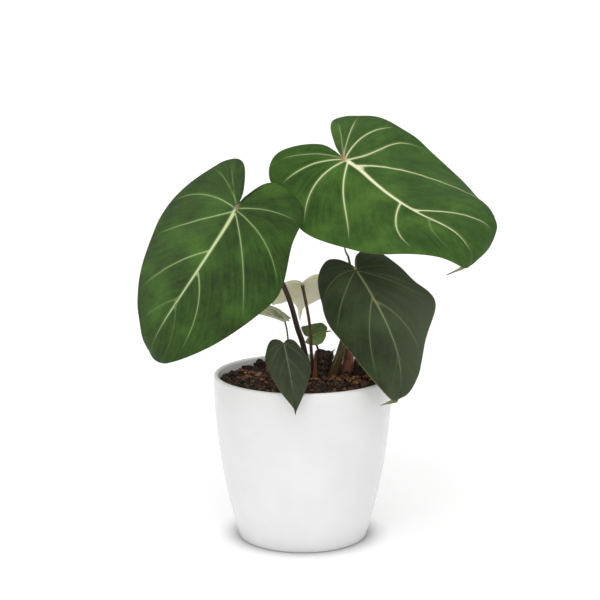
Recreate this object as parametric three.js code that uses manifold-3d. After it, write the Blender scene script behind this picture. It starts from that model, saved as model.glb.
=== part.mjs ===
// Philodendron gloriosum in a white pot. A creeping rhizome with an old upright end lies half
// out of bark soil, and carries three large and four small heart-shaped leaves, each a blade on
// a stalk (petiole), and two papery sheaths.
// Millimetres, +Z up. The origin is the middle of the pot's foot, on the surface it stands on,
// and the plant's front faces -Y.

import * as THREE from 'three';
import { mergeVertices } from 'three/addons/utils/BufferGeometryUtils.js';
import Module from 'manifold-3d';

const wasm = await Module();
wasm.setup();

// ---------------------------------------------------------------- driving dimensions

const GAP = 0.3; // air between pieces that touch

const POT = {
  height: 131,
  rimRadius: 70,
  taper: 19.5, // how much narrower the belly is at the foot than at the rim
  rings: [0.14, 0.32, 0.54, 0.78], // where the side is bent, in pot heights
  sides: 44,
  footRound: 1.5,
  wall: 3.5,
  floor: 3.5,
  floorRound: 5,
};

const SOIL = {
  level: 124.5, // height of the surface at the wall
  mound: { x: 20, y: 5, height: 2.5, spread: 26 },
  lumps: 1.5,
  rings: 11,
  chips: 30,
  chipReach: 56, // how far from the middle the bark chips lie
};

const RHIZOME = {
  creeping: [
    [-17, 9, 119.5], [-7, 5, 121], [6, 4, 121.5], [18, 8, 122], [30, 14, 124.5], [41, 17, 128.5],
    [51, 21, 123],
  ],
  creepingRadius: [3.5, 6, 7.2, 7.4, 7, 7, 5.5],
  oldEnd: [[13, 8, 118], [15.2, 8, 135], [17.7, 7, 146.6]],
  oldEndRadius: [6.9, 7.3, 7.2],
  scarSpacing: 5,
  scarDepth: 0.55,
};

// facets of a leaf: along the midrib, from midrib to margin, and along each half's margin
const FINE = { spine: 22, rows: 6, margin: 26 };
const COARSE = { spine: 12, rows: 5, margin: 16 };

// the small leaves have five even veins on each side: [start, end, bow], as below
const SMALL_VEINS = [[0, 0.18, 8], [0, 0.33, 14], [0, 0.52, 14], [0.22, 0.7, 14], [0.5, 0.85, 12]];

// A leaf lies along its midrib from the junction with the stalk, at `at`, to its drip tip.
// heading, dip and roll (degrees) turn it there; bend, tipBend and lobeBend arch the midrib,
// and fold, curl, twist and waves (mm) shape each half. sway and hook (length, sideways
// reach) carry the tip aside. outline is a half outline in mm, along and out from the midrib,
// and each vein is [start along the midrib, end along the outline, bow in degrees].
const LEAVES = {
  left: {
    at: [-49.5, -40, 268], heading: -137.5, dip: 47, roll: -46.5,
    length: 139, width: 56.5, thickness: 0.9, puff: 1.1, mesh: FINE,
    bend: 30, tipBend: 69, lobeBend: 10, twist: 18, sway: -1, hook: [7, -2],
    left: {
      fold: 10, curl: -16, waves: [0.5, -2.5, 5.5, 0],
      outline: [
        [-12, 2.5], [-30, 14.5], [-24.5, 43.5], [4.5, 51], [35, 61.5], [55.5, 60.5],
        [93, 45.5], [121, 21.5], [133, 4],
      ],
      veins: [[0, 0.1, 12], [0, 0.28, 23], [0, 0.52, 26], [0, 0.67, 9], [0.31, 0.84, -3], [0.62, 0.91, 12]],
    },
    right: {
      fold: -5, curl: -37, waves: [-3, -3, 1, -1.5],
      outline: [
        [-16, 3.5], [-36, 16.5], [-29.5, 31.5], [6.5, 53], [27.5, 59], [54, 56],
        [87, 40], [114, 19.5], [133, 4.5],
      ],
      veins: [[0, 0.2, -7], [0, 0.26, 15], [0, 0.44, 26], [0, 0.57, -7], [0.28, 0.78, 23], [0.59, 0.89, 20]],
    },
    stalk: {
      path: [
        [5.5, 3, 122], [0, -2, 154], [-4.3, -7, 168.3], [-9.4, -15, 188.7], [-14.7, -20, 203.5],
        [-32, -29, 240],
      ],
      radius: [2.4, 1.9],
      colour: 0x4a3630,
    },
    colour: 0x39592b,
  },
  upper: {
    at: [31, 15, 298.5], heading: -22, dip: 41, roll: 33.5,
    length: 152, width: 72.5, thickness: 0.9, puff: 1.4, mesh: FINE,
    bend: -63, tipBend: 218, lobeBend: 23, twist: -15, sway: -6.5, hook: [11, -16],
    left: {
      fold: 2, curl: -18, waves: [-1.5, -4.5, -0.5, -6],
      outline: [
        [-15.5, 9.5], [-33, 29], [-19.5, 53.5], [-2, 65.5], [28, 74.5], [66, 75.5],
        [102, 53], [136.5, 32.5], [141, 4],
      ],
      veins: [[0, 0.17, -1], [0, 0.24, 10], [0, 0.36, 26], [0, 0.46, 19], [0.07, 0.81, 37], [0.5, 0.86, 16]],
    },
    right: {
      fold: 2, curl: -26, waves: [5.5, -4.5, 0, 0.5],
      outline: [
        [-19.5, 5], [-37, 35], [-26.5, 56], [1.5, 64], [23.5, 72.5], [61.5, 69],
        [97.5, 61.5], [131, 23], [140.5, 3.5],
      ],
      veins: [[0, 0.23, 17], [0, 0.31, 22], [0, 0.46, 31], [0, 0.6, 10], [0.38, 0.78, 27], [0.59, 0.89, 29]],
    },
    stalk: {
      path: [
        [21.5, 4, 123.5], [24.9, 2, 132.8], [29.8, 0, 149.3], [38, 6, 185], [35.8, 13, 220],
        [33.2, 13.5, 226], [30.5, 14.5, 245],
      ],
      radius: [4.4, 0.55],
      colour: 0x5a6340,
    },
    colour: 0x41682e,
  },
  right: {
    at: [40, -35, 219], heading: -51, dip: 32.5, roll: 13,
    length: 124, width: 43, thickness: 0.9, puff: 0.9, mesh: FINE,
    bend: 85, tipBend: 39, lobeBend: 21, twist: -8, sway: 3.5, hook: [10, -12],
    left: {
      fold: 2, curl: 10, waves: [-10.5, -6, -0.5, -3],
      outline: [
        [-7.5, 5], [-24.5, 21.5], [-20.5, 32.5], [3.5, 37.5], [22.5, 40.5], [47, 48.5],
        [75.5, 27], [110, 7.5], [114.5, 2],
      ],
      veins: [[0, 0.1, 12], [0, 0.22, 16], [0, 0.38, 18], [0, 0.55, 18], [0.24, 0.79, 36], [0.62, 0.86, 12]],
    },
    right: {
      fold: -16, curl: -27, waves: [-4.5, -10, 3, -0.5],
      outline: [
        [-13.5, 1], [-27.5, 9.5], [-21, 26.5], [3.5, 39], [24.5, 42], [44, 39],
        [79.5, 26.5], [106, 10], [114, 2],
      ],
      veins: [[0, 0.1, 12], [0, 0.22, 16], [0, 0.38, 35], [0, 0.56, 18], [0.21, 0.82, 24], [0.62, 0.89, 12]],
    },
    stalk: {
      path: [[41, 16, 122], [43.5, 13, 140], [48, 8, 168], [47, -8, 196], [43, -24, 212]],
      radius: [3.2, 1.6],
      colour: 0x5b5a3a,
    },
    colour: 0x33472f,
  },
  front: {
    at: [-14.5, -57, 167], heading: -75, dip: 41.5, roll: -1.5,
    length: 57.5, width: 19, thickness: 0.8, puff: 0.5, mesh: COARSE,
    bend: 40, tipBend: 26, lobeBend: 1, twist: 4, sway: 3.5, hook: [6, 0],
    left: {
      fold: 4, curl: -11, waves: [-0.5, -4],
      outline: [[-2.5, 2], [-5, 5], [-4.5, 10], [1, 13.5], [13.5, 18], [25.5, 15.5], [38, 9], [51.5, 1.5]],
      veins: SMALL_VEINS,
    },
    right: {
      fold: 5, curl: -15, waves: [0, -3.5],
      outline: [[-2.5, 2], [-5, 4.5], [-4.5, 9], [1.5, 13], [13, 16.5], [26, 15], [39.5, 10], [51.5, 1.5]],
      veins: SMALL_VEINS,
    },
    stalk: {
      path: [[-8, 3, 120], [-9.5, -18, 141], [-12, -38, 156], [-14, -51, 163.5]],
      radius: [1.5, 1],
      colour: 0x6a4a3c,
    },
    colour: 0x3d4a36,
  },
  folded: {
    at: [-12.8, -22, 177.8], heading: 177, dip: -23, roll: 25.5,
    length: 42.5, width: 12.5, thickness: 0.8, puff: 0.3, mesh: COARSE,
    bend: 30, tipBend: 25, lobeBend: 0, twist: 3, sway: 0, hook: [5, 0],
    left: {
      fold: 25, curl: -12, waves: [-0.5, -1.5],
      outline: [
        [-1.5, 1.5], [-1, 4], [-2.5, 6.5], [0.5, 8.5], [8.5, 13], [18.5, 13], [28, 7.5],
        [37.5, 1.5],
      ],
      veins: SMALL_VEINS,
    },
    right: {
      fold: 24, curl: -12, waves: [-1, -0.5],
      outline: [
        [-0.5, 1], [-2, 4], [-3, 7.5], [-0.5, 12], [8.5, 13.5], [18.5, 12.5], [28, 7.5],
        [37.5, 1.5],
      ],
      veins: SMALL_VEINS,
    },
    stalk: {
      path: [[-8, 7, 120], [-10.2, -4, 143], [-11.6, -14.5, 161], [-12.6, -18.5, 170.4]],
      radius: [0.95, 0.65],
      colour: 0x6b4a3e,
    },
    colour: 0x6f7a56,
  },
  young: {
    at: [-0.5, 8, 201], heading: 88.5, dip: 29, roll: -7,
    length: 63, width: 29, thickness: 0.8, puff: 0.5, mesh: COARSE,
    bend: 6, tipBend: 61, lobeBend: 0, twist: -4, sway: 4.5, hook: [9, 0],
    left: {
      fold: 9, curl: -63, waves: [0.5, -1],
      outline: [
        [-5, 2], [-10.5, 9], [-10.5, 19], [-2.5, 27], [12, 28], [21, 25.5], [34, 17.5],
        [38.5, 9], [49.5, 3], [57.5, 1.5],
      ],
      veins: SMALL_VEINS,
    },
    right: {
      fold: 10, curl: -62, waves: [1.5, 1.5],
      outline: [
        [-5, 3.5], [-12.5, 9.5], [-14, 18], [-2, 27], [13, 28.5], [26, 21], [43, 11],
        [49.5, 3], [58, 1],
      ],
      veins: SMALL_VEINS,
    },
    stalk: {
      path: [[9, 6, 121], [6.7, 3.5, 144.5], [5.4, 2.3, 167.3], [3.2, 2.2, 182], [1.2, 2.8, 192]],
      radius: [1.45, 1.25],
      colour: 0x5c4a35,
    },
    colour: 0xb9bb8c,
  },
  inner: {
    at: [5, 16.5, 156.5], heading: -19.5, dip: -21.5, roll: 45,
    length: 19, width: 14, thickness: 0.8, puff: 0.3, mesh: COARSE,
    bend: 10, tipBend: 21, lobeBend: 0, twist: -12, sway: 1, hook: [4, 0],
    left: {
      fold: 6, curl: -20, waves: [0, 2],
      outline: [
        [-3, 1.5], [-4.5, 4.5], [-5.5, 10], [-0.5, 10.5], [5.5, 12.5], [10.5, 12.5], [15, 6],
        [15, 1],
      ],
      veins: SMALL_VEINS,
    },
    right: {
      fold: 9, curl: -15, waves: [1.5, -1],
      outline: [[-1, 3.5], [-3.5, 4], [-1.5, 7], [1.5, 9.5], [5.5, 12], [12.5, 14], [15.5, 8], [15, 1.5]],
      veins: SMALL_VEINS,
    },
    stalk: {
      path: [[11, 12, 122], [12.6, 18, 140], [10.5, 20, 150]],
      radius: [1.2, 0.85],
      colour: 0x7a4a3a,
    },
    colour: 0x5d7a3c,
  },
};

// A sheath is a papery leaf base that stands half round its axis, from foot to top. It is
// `spread` degrees wide to each side of where it faces, and its radius goes from foot to top.
const SHEATHS = {
  large: {
    foot: [34, 8.5, 121], top: [38.5, 8, 160],
    radius: [5.2, 3.6], spread: 75, facing: -100, colour: 0x7d4a42,
  },
  small: {
    foot: [9.5, 1.5, 122], top: [9.6, 1.2, 149],
    radius: [2.2, 1.3], spread: 65, facing: -80, colour: 0xc08a6c,
  },
};
const SHEATH_THICKNESS = 0.8;

// the share of its length, from the foot, over which a stalk grows slimmer
const SLIMMING = 0.62;

// how deep the ribs stand out beneath a blade, in blade thicknesses
const MIDRIB_DEPTH = 2.2;
const VEIN_DEPTH = 0.7;

// ---------------------------------------------------------------- helpers

const radians = THREE.MathUtils.degToRad;
const lerp = THREE.MathUtils.lerp;
const vector = (p) => new THREE.Vector3(...p);

// the same pseudo-random draws every time
function randomFrom(seed) {
  let state = seed;
  return () => {
    state = (state * 1664525 + 1013904223) % 4294967296;
    return state / 4294967296;
  };
}

// value of a polyline (xs rising, ys) at x
function interpolate(x, xs, ys) {
  if (x <= xs[0]) return ys[0];
  let i = 1;
  while (i < xs.length - 1 && xs[i] < x) i += 1;
  const share = Math.min(1, (x - xs[i - 1]) / (xs[i] - xs[i - 1]));
  return lerp(ys[i - 1], ys[i], share);
}

// a geometry with only positions and an index, its twin vertices joined and its empty
// triangles dropped
function bareGeometry(geometry) {
  const bare = geometry.clone();
  bare.deleteAttribute('normal');
  bare.deleteAttribute('uv');
  const merged = mergeVertices(bare, 1e-4);
  const kept = [];
  const index = merged.index.array;
  for (let i = 0; i < index.length; i += 3) {
    const [a, b, c] = [index[i], index[i + 1], index[i + 2]];
    if (a !== b && b !== c && c !== a) kept.push(a, b, c);
  }
  merged.setIndex(kept);
  return merged;
}

function solidOf(geometry) {
  const bare = bareGeometry(geometry);
  return new wasm.Manifold(new wasm.Mesh({
    numProp: 3,
    vertProperties: new Float32Array(bare.attributes.position.array),
    triVerts: new Uint32Array(bare.index.array),
  }));
}

// the largest body of a solid, as a geometry
function geometryOf(solid) {
  const bodies = solid.decompose().sort((a, b) => b.volume() - a.volume());
  const mesh = bodies[0].getMesh();
  const geometry = new THREE.BufferGeometry();
  geometry.setAttribute('position', new THREE.BufferAttribute(new Float32Array(mesh.vertProperties), 3));
  geometry.setIndex(new THREE.BufferAttribute(new Uint32Array(mesh.triVerts), 1));
  return geometry;
}

function geometryFrom(points, triangles) {
  const geometry = new THREE.BufferGeometry().setFromPoints(points);
  geometry.setIndex(triangles);
  return geometry;
}

function lathe(profile, segments) {
  const geometry = new THREE.LatheGeometry(profile, segments);
  return geometry.rotateX(Math.PI / 2);
}

// points of an arc in the (radius, height) plane, angles in degrees
function arc(centreR, centreZ, radiusR, radiusZ, from, to, steps) {
  const points = [];
  for (let i = 0; i <= steps; i += 1) {
    const angle = radians(lerp(from, to, i / steps));
    points.push(new THREE.Vector2(centreR + radiusR * Math.cos(angle), centreZ + radiusZ * Math.sin(angle)));
  }
  return points;
}

// A closed tube of varying radius along a curve; radiusAt takes the share of its length. grow
// makes it larger all round, for cutting a neighbour clear of it.
function taperedTube(curve, radiusAt, sides, steps, grow = 0) {
  const frames = curve.computeFrenetFrames(steps, false);
  const points = [];
  const triangles = [];
  const centreAt = (i) => {
    const beyond = i === 0 ? -grow : i === steps ? grow : 0;
    return curve.getPointAt(i / steps).addScaledVector(frames.tangents[i], beyond);
  };
  for (let i = 0; i <= steps; i += 1) {
    for (let k = 0; k < sides; k += 1) {
      const angle = (2 * Math.PI * k) / sides;
      const out = frames.normals[i].clone().multiplyScalar(Math.cos(angle));
      out.addScaledVector(frames.binormals[i], Math.sin(angle));
      points.push(centreAt(i).addScaledVector(out, radiusAt(i / steps) + grow));
    }
  }
  for (let i = 0; i < steps; i += 1) {
    for (let k = 0; k < sides; k += 1) {
      const next = (k + 1) % sides;
      const [a, b] = [i * sides + k, i * sides + next];
      const [c, d] = [(i + 1) * sides + next, (i + 1) * sides + k];
      triangles.push(a, b, c, a, c, d);
    }
  }
  const [start, end] = [points.length, points.length + 1];
  points.push(centreAt(0), centreAt(steps));
  for (let k = 0; k < sides; k += 1) {
    const next = (k + 1) % sides;
    triangles.push(start, next, k);
    triangles.push(end, steps * sides + k, steps * sides + next);
  }
  return geometryFrom(points, triangles);
}

// ---------------------------------------------------------------- pot

function potRadius(z) {
  return POT.rimRadius - POT.taper * (1 - z / POT.height) ** 2;
}

// the pot's inside, from below the lip to the middle of the floor, drawn in by an inset
function potInside(inset) {
  const { height, wall, floor, floorRound, rings } = POT;
  const corner = floor + floorRound;
  const heights = rings.map((share) => share * height).reverse();
  const round = floorRound - inset;
  return [
    ...heights.map((z) => new THREE.Vector2(potRadius(z) - wall - inset, z)),
    ...arc(potRadius(corner) - wall - floorRound, corner, round, round, 0, -90, 3),
    new THREE.Vector2(0, floor + inset),
  ];
}

function pot() {
  const { height, wall, footRound, rings } = POT;
  const lip = wall / 2;
  const profile = [
    new THREE.Vector2(0, 0),
    ...arc(potRadius(footRound) - footRound, footRound, footRound, footRound, -90, 0, 2),
    ...rings.map((share) => new THREE.Vector2(potRadius(share * height), share * height)),
    ...arc(potRadius(height) - lip, height - lip, lip, lip, 0, 180, 4),
    ...potInside(0),
  ];
  return bareGeometry(lathe(profile, POT.sides));
}

// ---------------------------------------------------------------- leaves

// arched midrib: place and slope at a distance u from the junction
function midribOf(leaf) {
  const steps = 200;
  const from = -0.45 * leaf.length;
  const step = (leaf.length - from) / (steps - 1);
  const slopeAt = (u) => {
    const x = u / leaf.length;
    if (x < 0) return -radians(leaf.lobeBend) * x;
    return -radians(leaf.bend) * x - radians(leaf.tipBend) * x ** 6;
  };
  const us = [from];
  const along = [0];
  const up = [0];
  for (let i = 1; i < steps; i += 1) {
    const u = from + i * step;
    const slope = (slopeAt(u) + slopeAt(u - step)) / 2;
    us.push(u);
    along.push(along[i - 1] + Math.cos(slope) * step);
    up.push(up[i - 1] + Math.sin(slope) * step);
  }
  const origin = [interpolate(0, us, along), interpolate(0, us, up)];
  return (u) => ({
    along: interpolate(u, us, along) - origin[0],
    up: interpolate(u, us, up) - origin[1],
    slope: slopeAt(u),
  });
}

// turns the leaf's own axes (along, left, up) to the plant's
function leafTurn(leaf) {
  const heading = new THREE.Matrix4().makeRotationZ(radians(leaf.heading));
  const dip = new THREE.Matrix4().makeRotationY(radians(leaf.dip));
  const roll = new THREE.Matrix4().makeRotationX(radians(leaf.roll));
  return heading.multiply(dip).multiply(roll).setPosition(vector(leaf.at));
}

// The chart of one half leaf: s counts the veins from the sinus (0) to the tip, and t runs
// from the midrib (0) to the margin (1). Returns (s, t) to a point of the curved blade.
function halfLeaf(leaf, sign) {
  const half = sign > 0 ? leaf.left : leaf.right;
  const points = [[0, 0], ...half.outline, [leaf.length, 0]].map((p) => new THREE.Vector2(...p));
  const outline = new THREE.SplineCurve(points);
  const count = half.veins.length + 1;
  const numbers = [...Array(count + 1).keys()];
  const starts = [0, ...half.veins.map((v) => v[0]), 1];
  const ends = [0, ...half.veins.map((v) => v[1]), 1];
  const bows = [0, ...half.veins.map((v) => v[2]), 0];
  const midrib = midribOf(leaf);
  const turn = leafTurn(leaf);
  const curl = radians(half.curl) / leaf.width;

  const startOf = (s) => interpolate(s, numbers, starts) * leaf.length;

  // the places of the mesh's columns: on every vein, and more between two the longer the
  // margin there is
  const stations = ends.slice(1).flatMap((end, k) => {
    const steps = 2 * Math.max(1, Math.round(((end - ends[k]) * leaf.mesh.margin) / 2));
    return [...Array(steps).keys()].map((i) => k + i / steps);
  });

  function flat(s, t) {
    const start = new THREE.Vector2(startOf(s), 0);
    const end = outline.getPointAt(interpolate(s, numbers, ends));
    const chord = end.clone().sub(start);
    const bow = Math.tan(radians(interpolate(s, numbers, bows))) / 2;
    const middle = start.clone().addScaledVector(chord, 0.5);
    middle.add(new THREE.Vector2(-chord.y * bow, chord.x * bow));
    const sum = start.multiplyScalar((1 - t) ** 2);
    return sum.addScaledVector(middle, 2 * t * (1 - t)).addScaledVector(end, t * t);
  }

  function liftAt(s, t) {
    const m = interpolate(s, numbers, ends);
    const wave = half.waves.reduce((sum, w, k) => sum + w * Math.sin((k + 1) * Math.PI * m), 0);
    const puff = leaf.puff * Math.sin(Math.PI * s) ** 2 * Math.sin(0.85 * Math.PI * t ** 0.8);
    return wave * t * t + puff;
  }

  function place(u, v, lift) {
    const rib = midrib(u);
    const share = Math.max(0, u / leaf.length);
    const fold = radians(half.fold) + sign * radians(leaf.twist) * (u / leaf.length);
    const slope = fold + curl * v;
    const across = (Math.sin(slope) - Math.sin(fold)) / curl - Math.sin(slope) * lift;
    const above = (Math.cos(fold) - Math.cos(slope)) / curl + Math.cos(slope) * lift;
    const hooked = Math.max(0, (u - leaf.length + leaf.hook[0]) / leaf.hook[0]) ** 2;
    const aside = leaf.sway * share ** 2 + leaf.hook[1] * hooked;
    const local = new THREE.Vector3(
      rib.along - Math.sin(rib.slope) * above,
      sign * across + aside,
      rib.up + Math.cos(rib.slope) * above,
    );
    return local.applyMatrix4(turn);
  }

  function point(s, t) {
    const p = flat(s, t);
    return place(p.x, p.y, liftAt(s, t));
  }
  return { stations, startOf, place, point };
}

// triangles between two rows of vertices, each with its distance along the midrib
function zip(rowA, rowB) {
  const triangles = [];
  let [i, j] = [0, 0];
  while (i < rowA.length - 1 || j < rowB.length - 1) {
    const nextA = i < rowA.length - 1 ? rowA[i + 1].at : Infinity;
    const nextB = j < rowB.length - 1 ? rowB[j + 1].at : Infinity;
    if (nextB <= nextA) {
      triangles.push([rowA[i].index, rowB[j].index, rowB[j + 1].index]);
      j += 1;
    } else {
      triangles.push([rowA[i].index, rowB[j].index, rowA[i + 1].index]);
      i += 1;
    }
  }
  return triangles;
}

// The blade's middle surface: vertices, triangles seen from above, rim loop and how thick the
// ribs beneath make each vertex.
function middleSurface(leaf) {
  const { spine: steps, rows } = leaf.mesh;
  const halves = [halfLeaf(leaf, 1), halfLeaf(leaf, -1)];
  const points = [];
  const ribs = [];
  const triangles = [];
  const spine = [];
  for (let i = 0; i <= steps; i += 1) {
    spine.push({ index: i, at: (leaf.length * i) / steps });
    points.push(halves[0].place(spine[i].at, 0, 0));
    ribs.push(leaf.thickness * lerp(MIDRIB_DEPTH, 0.3, i / steps));
  }
  const margins = halves.map((half, side) => {
    const face = (a, b, c) => triangles.push(side === 0 ? [a, c, b] : [a, b, c]);
    let previous = spine;
    for (let j = 1; j <= rows; j += 1) {
      const t = j / rows;
      const row = half.stations.map((s, i) => {
        if (i === 0) return spine[0];
        points.push(half.point(s, t));
        ribs.push(Number.isInteger(s) ? leaf.thickness * VEIN_DEPTH * (1 - t) : 0);
        return { index: points.length - 1, at: half.startOf(s) };
      });
      row.push(spine[steps]);
      if (j === 1) zip(previous, row).forEach((t3) => face(...t3));
      for (let i = 0; j > 1 && i < row.length - 1; i += 1) {
        const [a, b, c, d] = [previous[i].index, previous[i + 1].index, row[i + 1].index, row[i].index];
        if (b !== c) face(a, c, b);
        if (a !== d) face(a, d, c);
      }
      previous = row;
    }
    return previous.map((v) => v.index);
  });
  const rim = [...margins[1], ...margins[0].slice(1, -1).reverse()];
  return { points, triangles, rim, ribs };
}

// A closed blade: the middle surface thickened along its normals, with ribs beneath. grow
// makes it larger all round, for cutting a neighbour clear of it.
function blade(leaf, grow = 0) {
  const { points, triangles, rim, ribs } = middleSurface(leaf);
  const sheet = geometryFrom(points, triangles.flat());
  sheet.computeVertexNormals();
  const normal = sheet.attributes.normal;
  const normals = points.map((_, i) => new THREE.Vector3().fromBufferAttribute(normal, i));
  const half = leaf.thickness / 2 + grow;
  const count = points.length;
  const middle = points.map((p) => p.clone());
  rim.forEach((a, i) => {
    const before = points[rim[(i + rim.length - 1) % rim.length]];
    const after = points[rim[(i + 1) % rim.length]];
    const outward = after.clone().sub(before).cross(normals[a]).normalize();
    middle[a].addScaledVector(outward, grow);
  });
  const faces = middle.map((p, i) => p.clone().addScaledVector(normals[i], half));
  const backs = middle.map((p, i) => p.clone().addScaledVector(normals[i], -half - ribs[i]));
  const index = [];
  for (const [a, b, c] of triangles) {
    index.push(a, b, c, count + a, count + c, count + b);
  }
  rim.forEach((a, i) => {
    const b = rim[(i + 1) % rim.length];
    index.push(b, a, count + a, b, count + a, count + b);
  });
  return geometryFrom([...faces, ...backs], index);
}

// ---------------------------------------------------------------- stalks, rhizome, sheaths

// a stalk runs from inside the rhizome to just under the blade, beside its junction
function stalkTube(leaf, grow = 0, sides = 8) {
  const { path, radius } = leaf.stalk;
  const underside = leaf.thickness * (MIDRIB_DEPTH + 0.5);
  const end = halfLeaf(leaf, 1).place(radius[1] * 2, 0, -underside - GAP - 0.25 * radius[1]);
  const curve = new THREE.CatmullRomCurve3([...path.map(vector), end], false, 'centripetal');
  const radiusAt = (share) => lerp(radius[0], radius[1], Math.min(1, share / SLIMMING));
  return taperedTube(curve, radiusAt, sides, Math.round(8 + curve.getLength() / 16), grow);
}

// A stem with ring scars. Without them it is plain and as thick as they reach, for the hole
// that it lies in.
function stem(path, radii, grow, scars) {
  const { scarSpacing, scarDepth } = RHIZOME;
  const curve = new THREE.CatmullRomCurve3(path.map(vector), false, 'centripetal');
  const length = curve.getLength();
  const places = radii.map((_, i) => i / (radii.length - 1));
  const steps = Math.round(((scars ? 3 : 1) * length) / scarSpacing);
  const radiusAt = (share) => {
    const ring = scars ? Math.sin((2 * Math.PI * share * length) / scarSpacing) : 1;
    return interpolate(share, places, radii) + scarDepth * ring;
  };
  return solidOf(taperedTube(curve, radiusAt, 10, steps, grow));
}

function rhizome(grow = 0, scars = true) {
  const creeping = stem(RHIZOME.creeping, RHIZOME.creepingRadius, grow, scars);
  return creeping.add(stem(RHIZOME.oldEnd, RHIZOME.oldEndRadius, grow, scars));
}

function sheath({ foot, top, radius, spread, facing }, grow = 0) {
  const [across, up] = [6, 6];
  const points = [];
  const triangles = [];
  const thickness = SHEATH_THICKNESS + 2 * grow;
  for (const out of [thickness / 2, -thickness / 2]) {
    for (let j = 0; j <= up; j += 1) {
      const h = j / up;
      const centre = vector(foot).lerp(vector(top), h);
      centre.z += grow * (2 * h - 1);
      const width = spread * (1 - 0.75 * h ** 2.5) + THREE.MathUtils.radToDeg(grow / radius[1]);
      for (let i = 0; i <= across; i += 1) {
        const angle = radians(facing + width * (2 * (i / across) - 1));
        const r = lerp(radius[0], radius[1], h) + out;
        points.push(new THREE.Vector3(r * Math.cos(angle), r * Math.sin(angle), 0).add(centre));
      }
    }
  }
  const row = across + 1;
  const inside = row * (up + 1);
  for (let j = 0; j < up; j += 1) {
    for (let i = 0; i < across; i += 1) {
      const [a, b, c, d] = [j * row + i, j * row + i + 1, (j + 1) * row + i + 1, (j + 1) * row + i];
      triangles.push(a, b, c, a, c, d);
      triangles.push(inside + a, inside + c, inside + b, inside + a, inside + d, inside + c);
    }
  }
  const edge = [];
  for (let i = 0; i < across; i += 1) edge.push(i);
  for (let j = 0; j < up; j += 1) edge.push(j * row + across);
  for (let i = across; i > 0; i -= 1) edge.push(up * row + i);
  for (let j = up; j > 0; j -= 1) edge.push(j * row);
  edge.forEach((a, i) => {
    const b = edge[(i + 1) % edge.length];
    triangles.push(b, a, inside + a, b, inside + a, inside + b);
  });
  return solidOf(geometryFrom(points, triangles));
}

// ---------------------------------------------------------------- soil

// smooth lumps of about 9 mm and 4 mm, between -1 and 1
function lumps(x, y) {
  const bendX = 1.3 * Math.sin(0.37 * y);
  const bendY = 1.7 * Math.sin(0.29 * x);
  const coarse = Math.sin(0.61 * x + bendX) * Math.sin(0.55 * y + bendY);
  const fine = Math.sin(1.31 * x + 0.9 * y) * Math.sin(1.17 * y - 0.7 * x);
  return 0.7 * coarse + 0.3 * fine;
}

function soilHeight(x, y) {
  const { level, mound } = SOIL;
  const away = (x - mound.x) ** 2 + (y - mound.y) ** 2;
  return level + mound.height * Math.exp(-away / (2 * mound.spread ** 2)) + SOIL.lumps * lumps(x, y);
}

// The soil fills the pot: rings of an uneven surface, which have no height of their own, and
// below them the rings of the pot's inside, a gap away from the wall.
function soilBody() {
  const sectors = POT.sides;
  const below = potInside(GAP);
  const lip = new THREE.Vector2(POT.rimRadius - POT.wall - GAP, POT.height - POT.wall / 2);
  const lowest = SOIL.level - SOIL.lumps;
  const edge = interpolate(lowest, [below[0].y, lip.y], [below[0].x, lip.x]);
  const surface = [...Array(SOIL.rings).keys()].map((j) => [(edge * (j + 1)) / SOIL.rings, null]);
  const rings = [...surface, ...below.slice(0, -1).map((p) => [p.x, p.y])];
  const points = [new THREE.Vector3(0, 0, soilHeight(0, 0))];
  const triangles = [];
  for (const [radius, height] of rings) {
    for (let k = 0; k < sectors; k += 1) {
      const angle = (2 * Math.PI * k) / sectors;
      const [x, y] = [radius * Math.cos(angle), radius * Math.sin(angle)];
      points.push(new THREE.Vector3(x, y, height ?? soilHeight(x, y)));
    }
  }
  points.push(new THREE.Vector3(0, 0, below.at(-1).y));
  const [last, bottom] = [points.length - 1, points.length - 1 - sectors];
  for (let k = 0; k < sectors; k += 1) {
    const next = (k + 1) % sectors;
    triangles.push(0, 1 + k, 1 + next);
    for (let j = 0; j < rings.length - 1; j += 1) {
      const [a, b] = [1 + j * sectors + k, 1 + j * sectors + next];
      triangles.push(a, a + sectors, b + sectors, a, b + sectors, b);
    }
    triangles.push(last, bottom + next, bottom + k);
  }
  return solidOf(geometryFrom(points, triangles));
}

// bark chips lie half sunk in the surface, clear of the wall
function barkChips() {
  const random = randomFrom(11);
  const chips = [];
  while (chips.length < SOIL.chips) {
    const radius = SOIL.chipReach * Math.sqrt(random());
    const angle = 2 * Math.PI * random();
    const [x, y] = [radius * Math.cos(angle), radius * Math.sin(angle)];
    const size = [lerp(5, 12, random()), lerp(4, 7, random()), lerp(2.2, 4, random())];
    const chip = new THREE.BoxGeometry(...size);
    chip.rotateX(lerp(-0.5, 0.5, random())).rotateY(lerp(-0.5, 0.5, random())).rotateZ(Math.PI * random());
    chip.translate(x, y, soilHeight(x, y) + 0.3);
    chips.push(solidOf(chip));
  }
  return chips;
}

function soil(buried) {
  let solid = soilBody();
  for (const chip of barkChips()) solid = solid.add(chip);
  for (const piece of buried) solid = solid.subtract(piece);
  return geometryOf(solid);
}

// ---------------------------------------------------------------- the plant

const plant = new THREE.Group();

function add(name, geometry, colour, roughness) {
  const material = new THREE.MeshStandardMaterial({ color: colour, roughness, metalness: 0 });
  geometry.computeVertexNormals();
  const mesh = new THREE.Mesh(geometry, material);
  mesh.name = name;
  plant.add(mesh);
}

add('pot', pot(), 0xf2f2f0, 0.3);

const grownRhizome = rhizome(GAP);
const buried = [rhizome(2 * GAP, false)];
add('rhizome', geometryOf(rhizome()), 0x3a2a20, 0.9);

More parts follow.
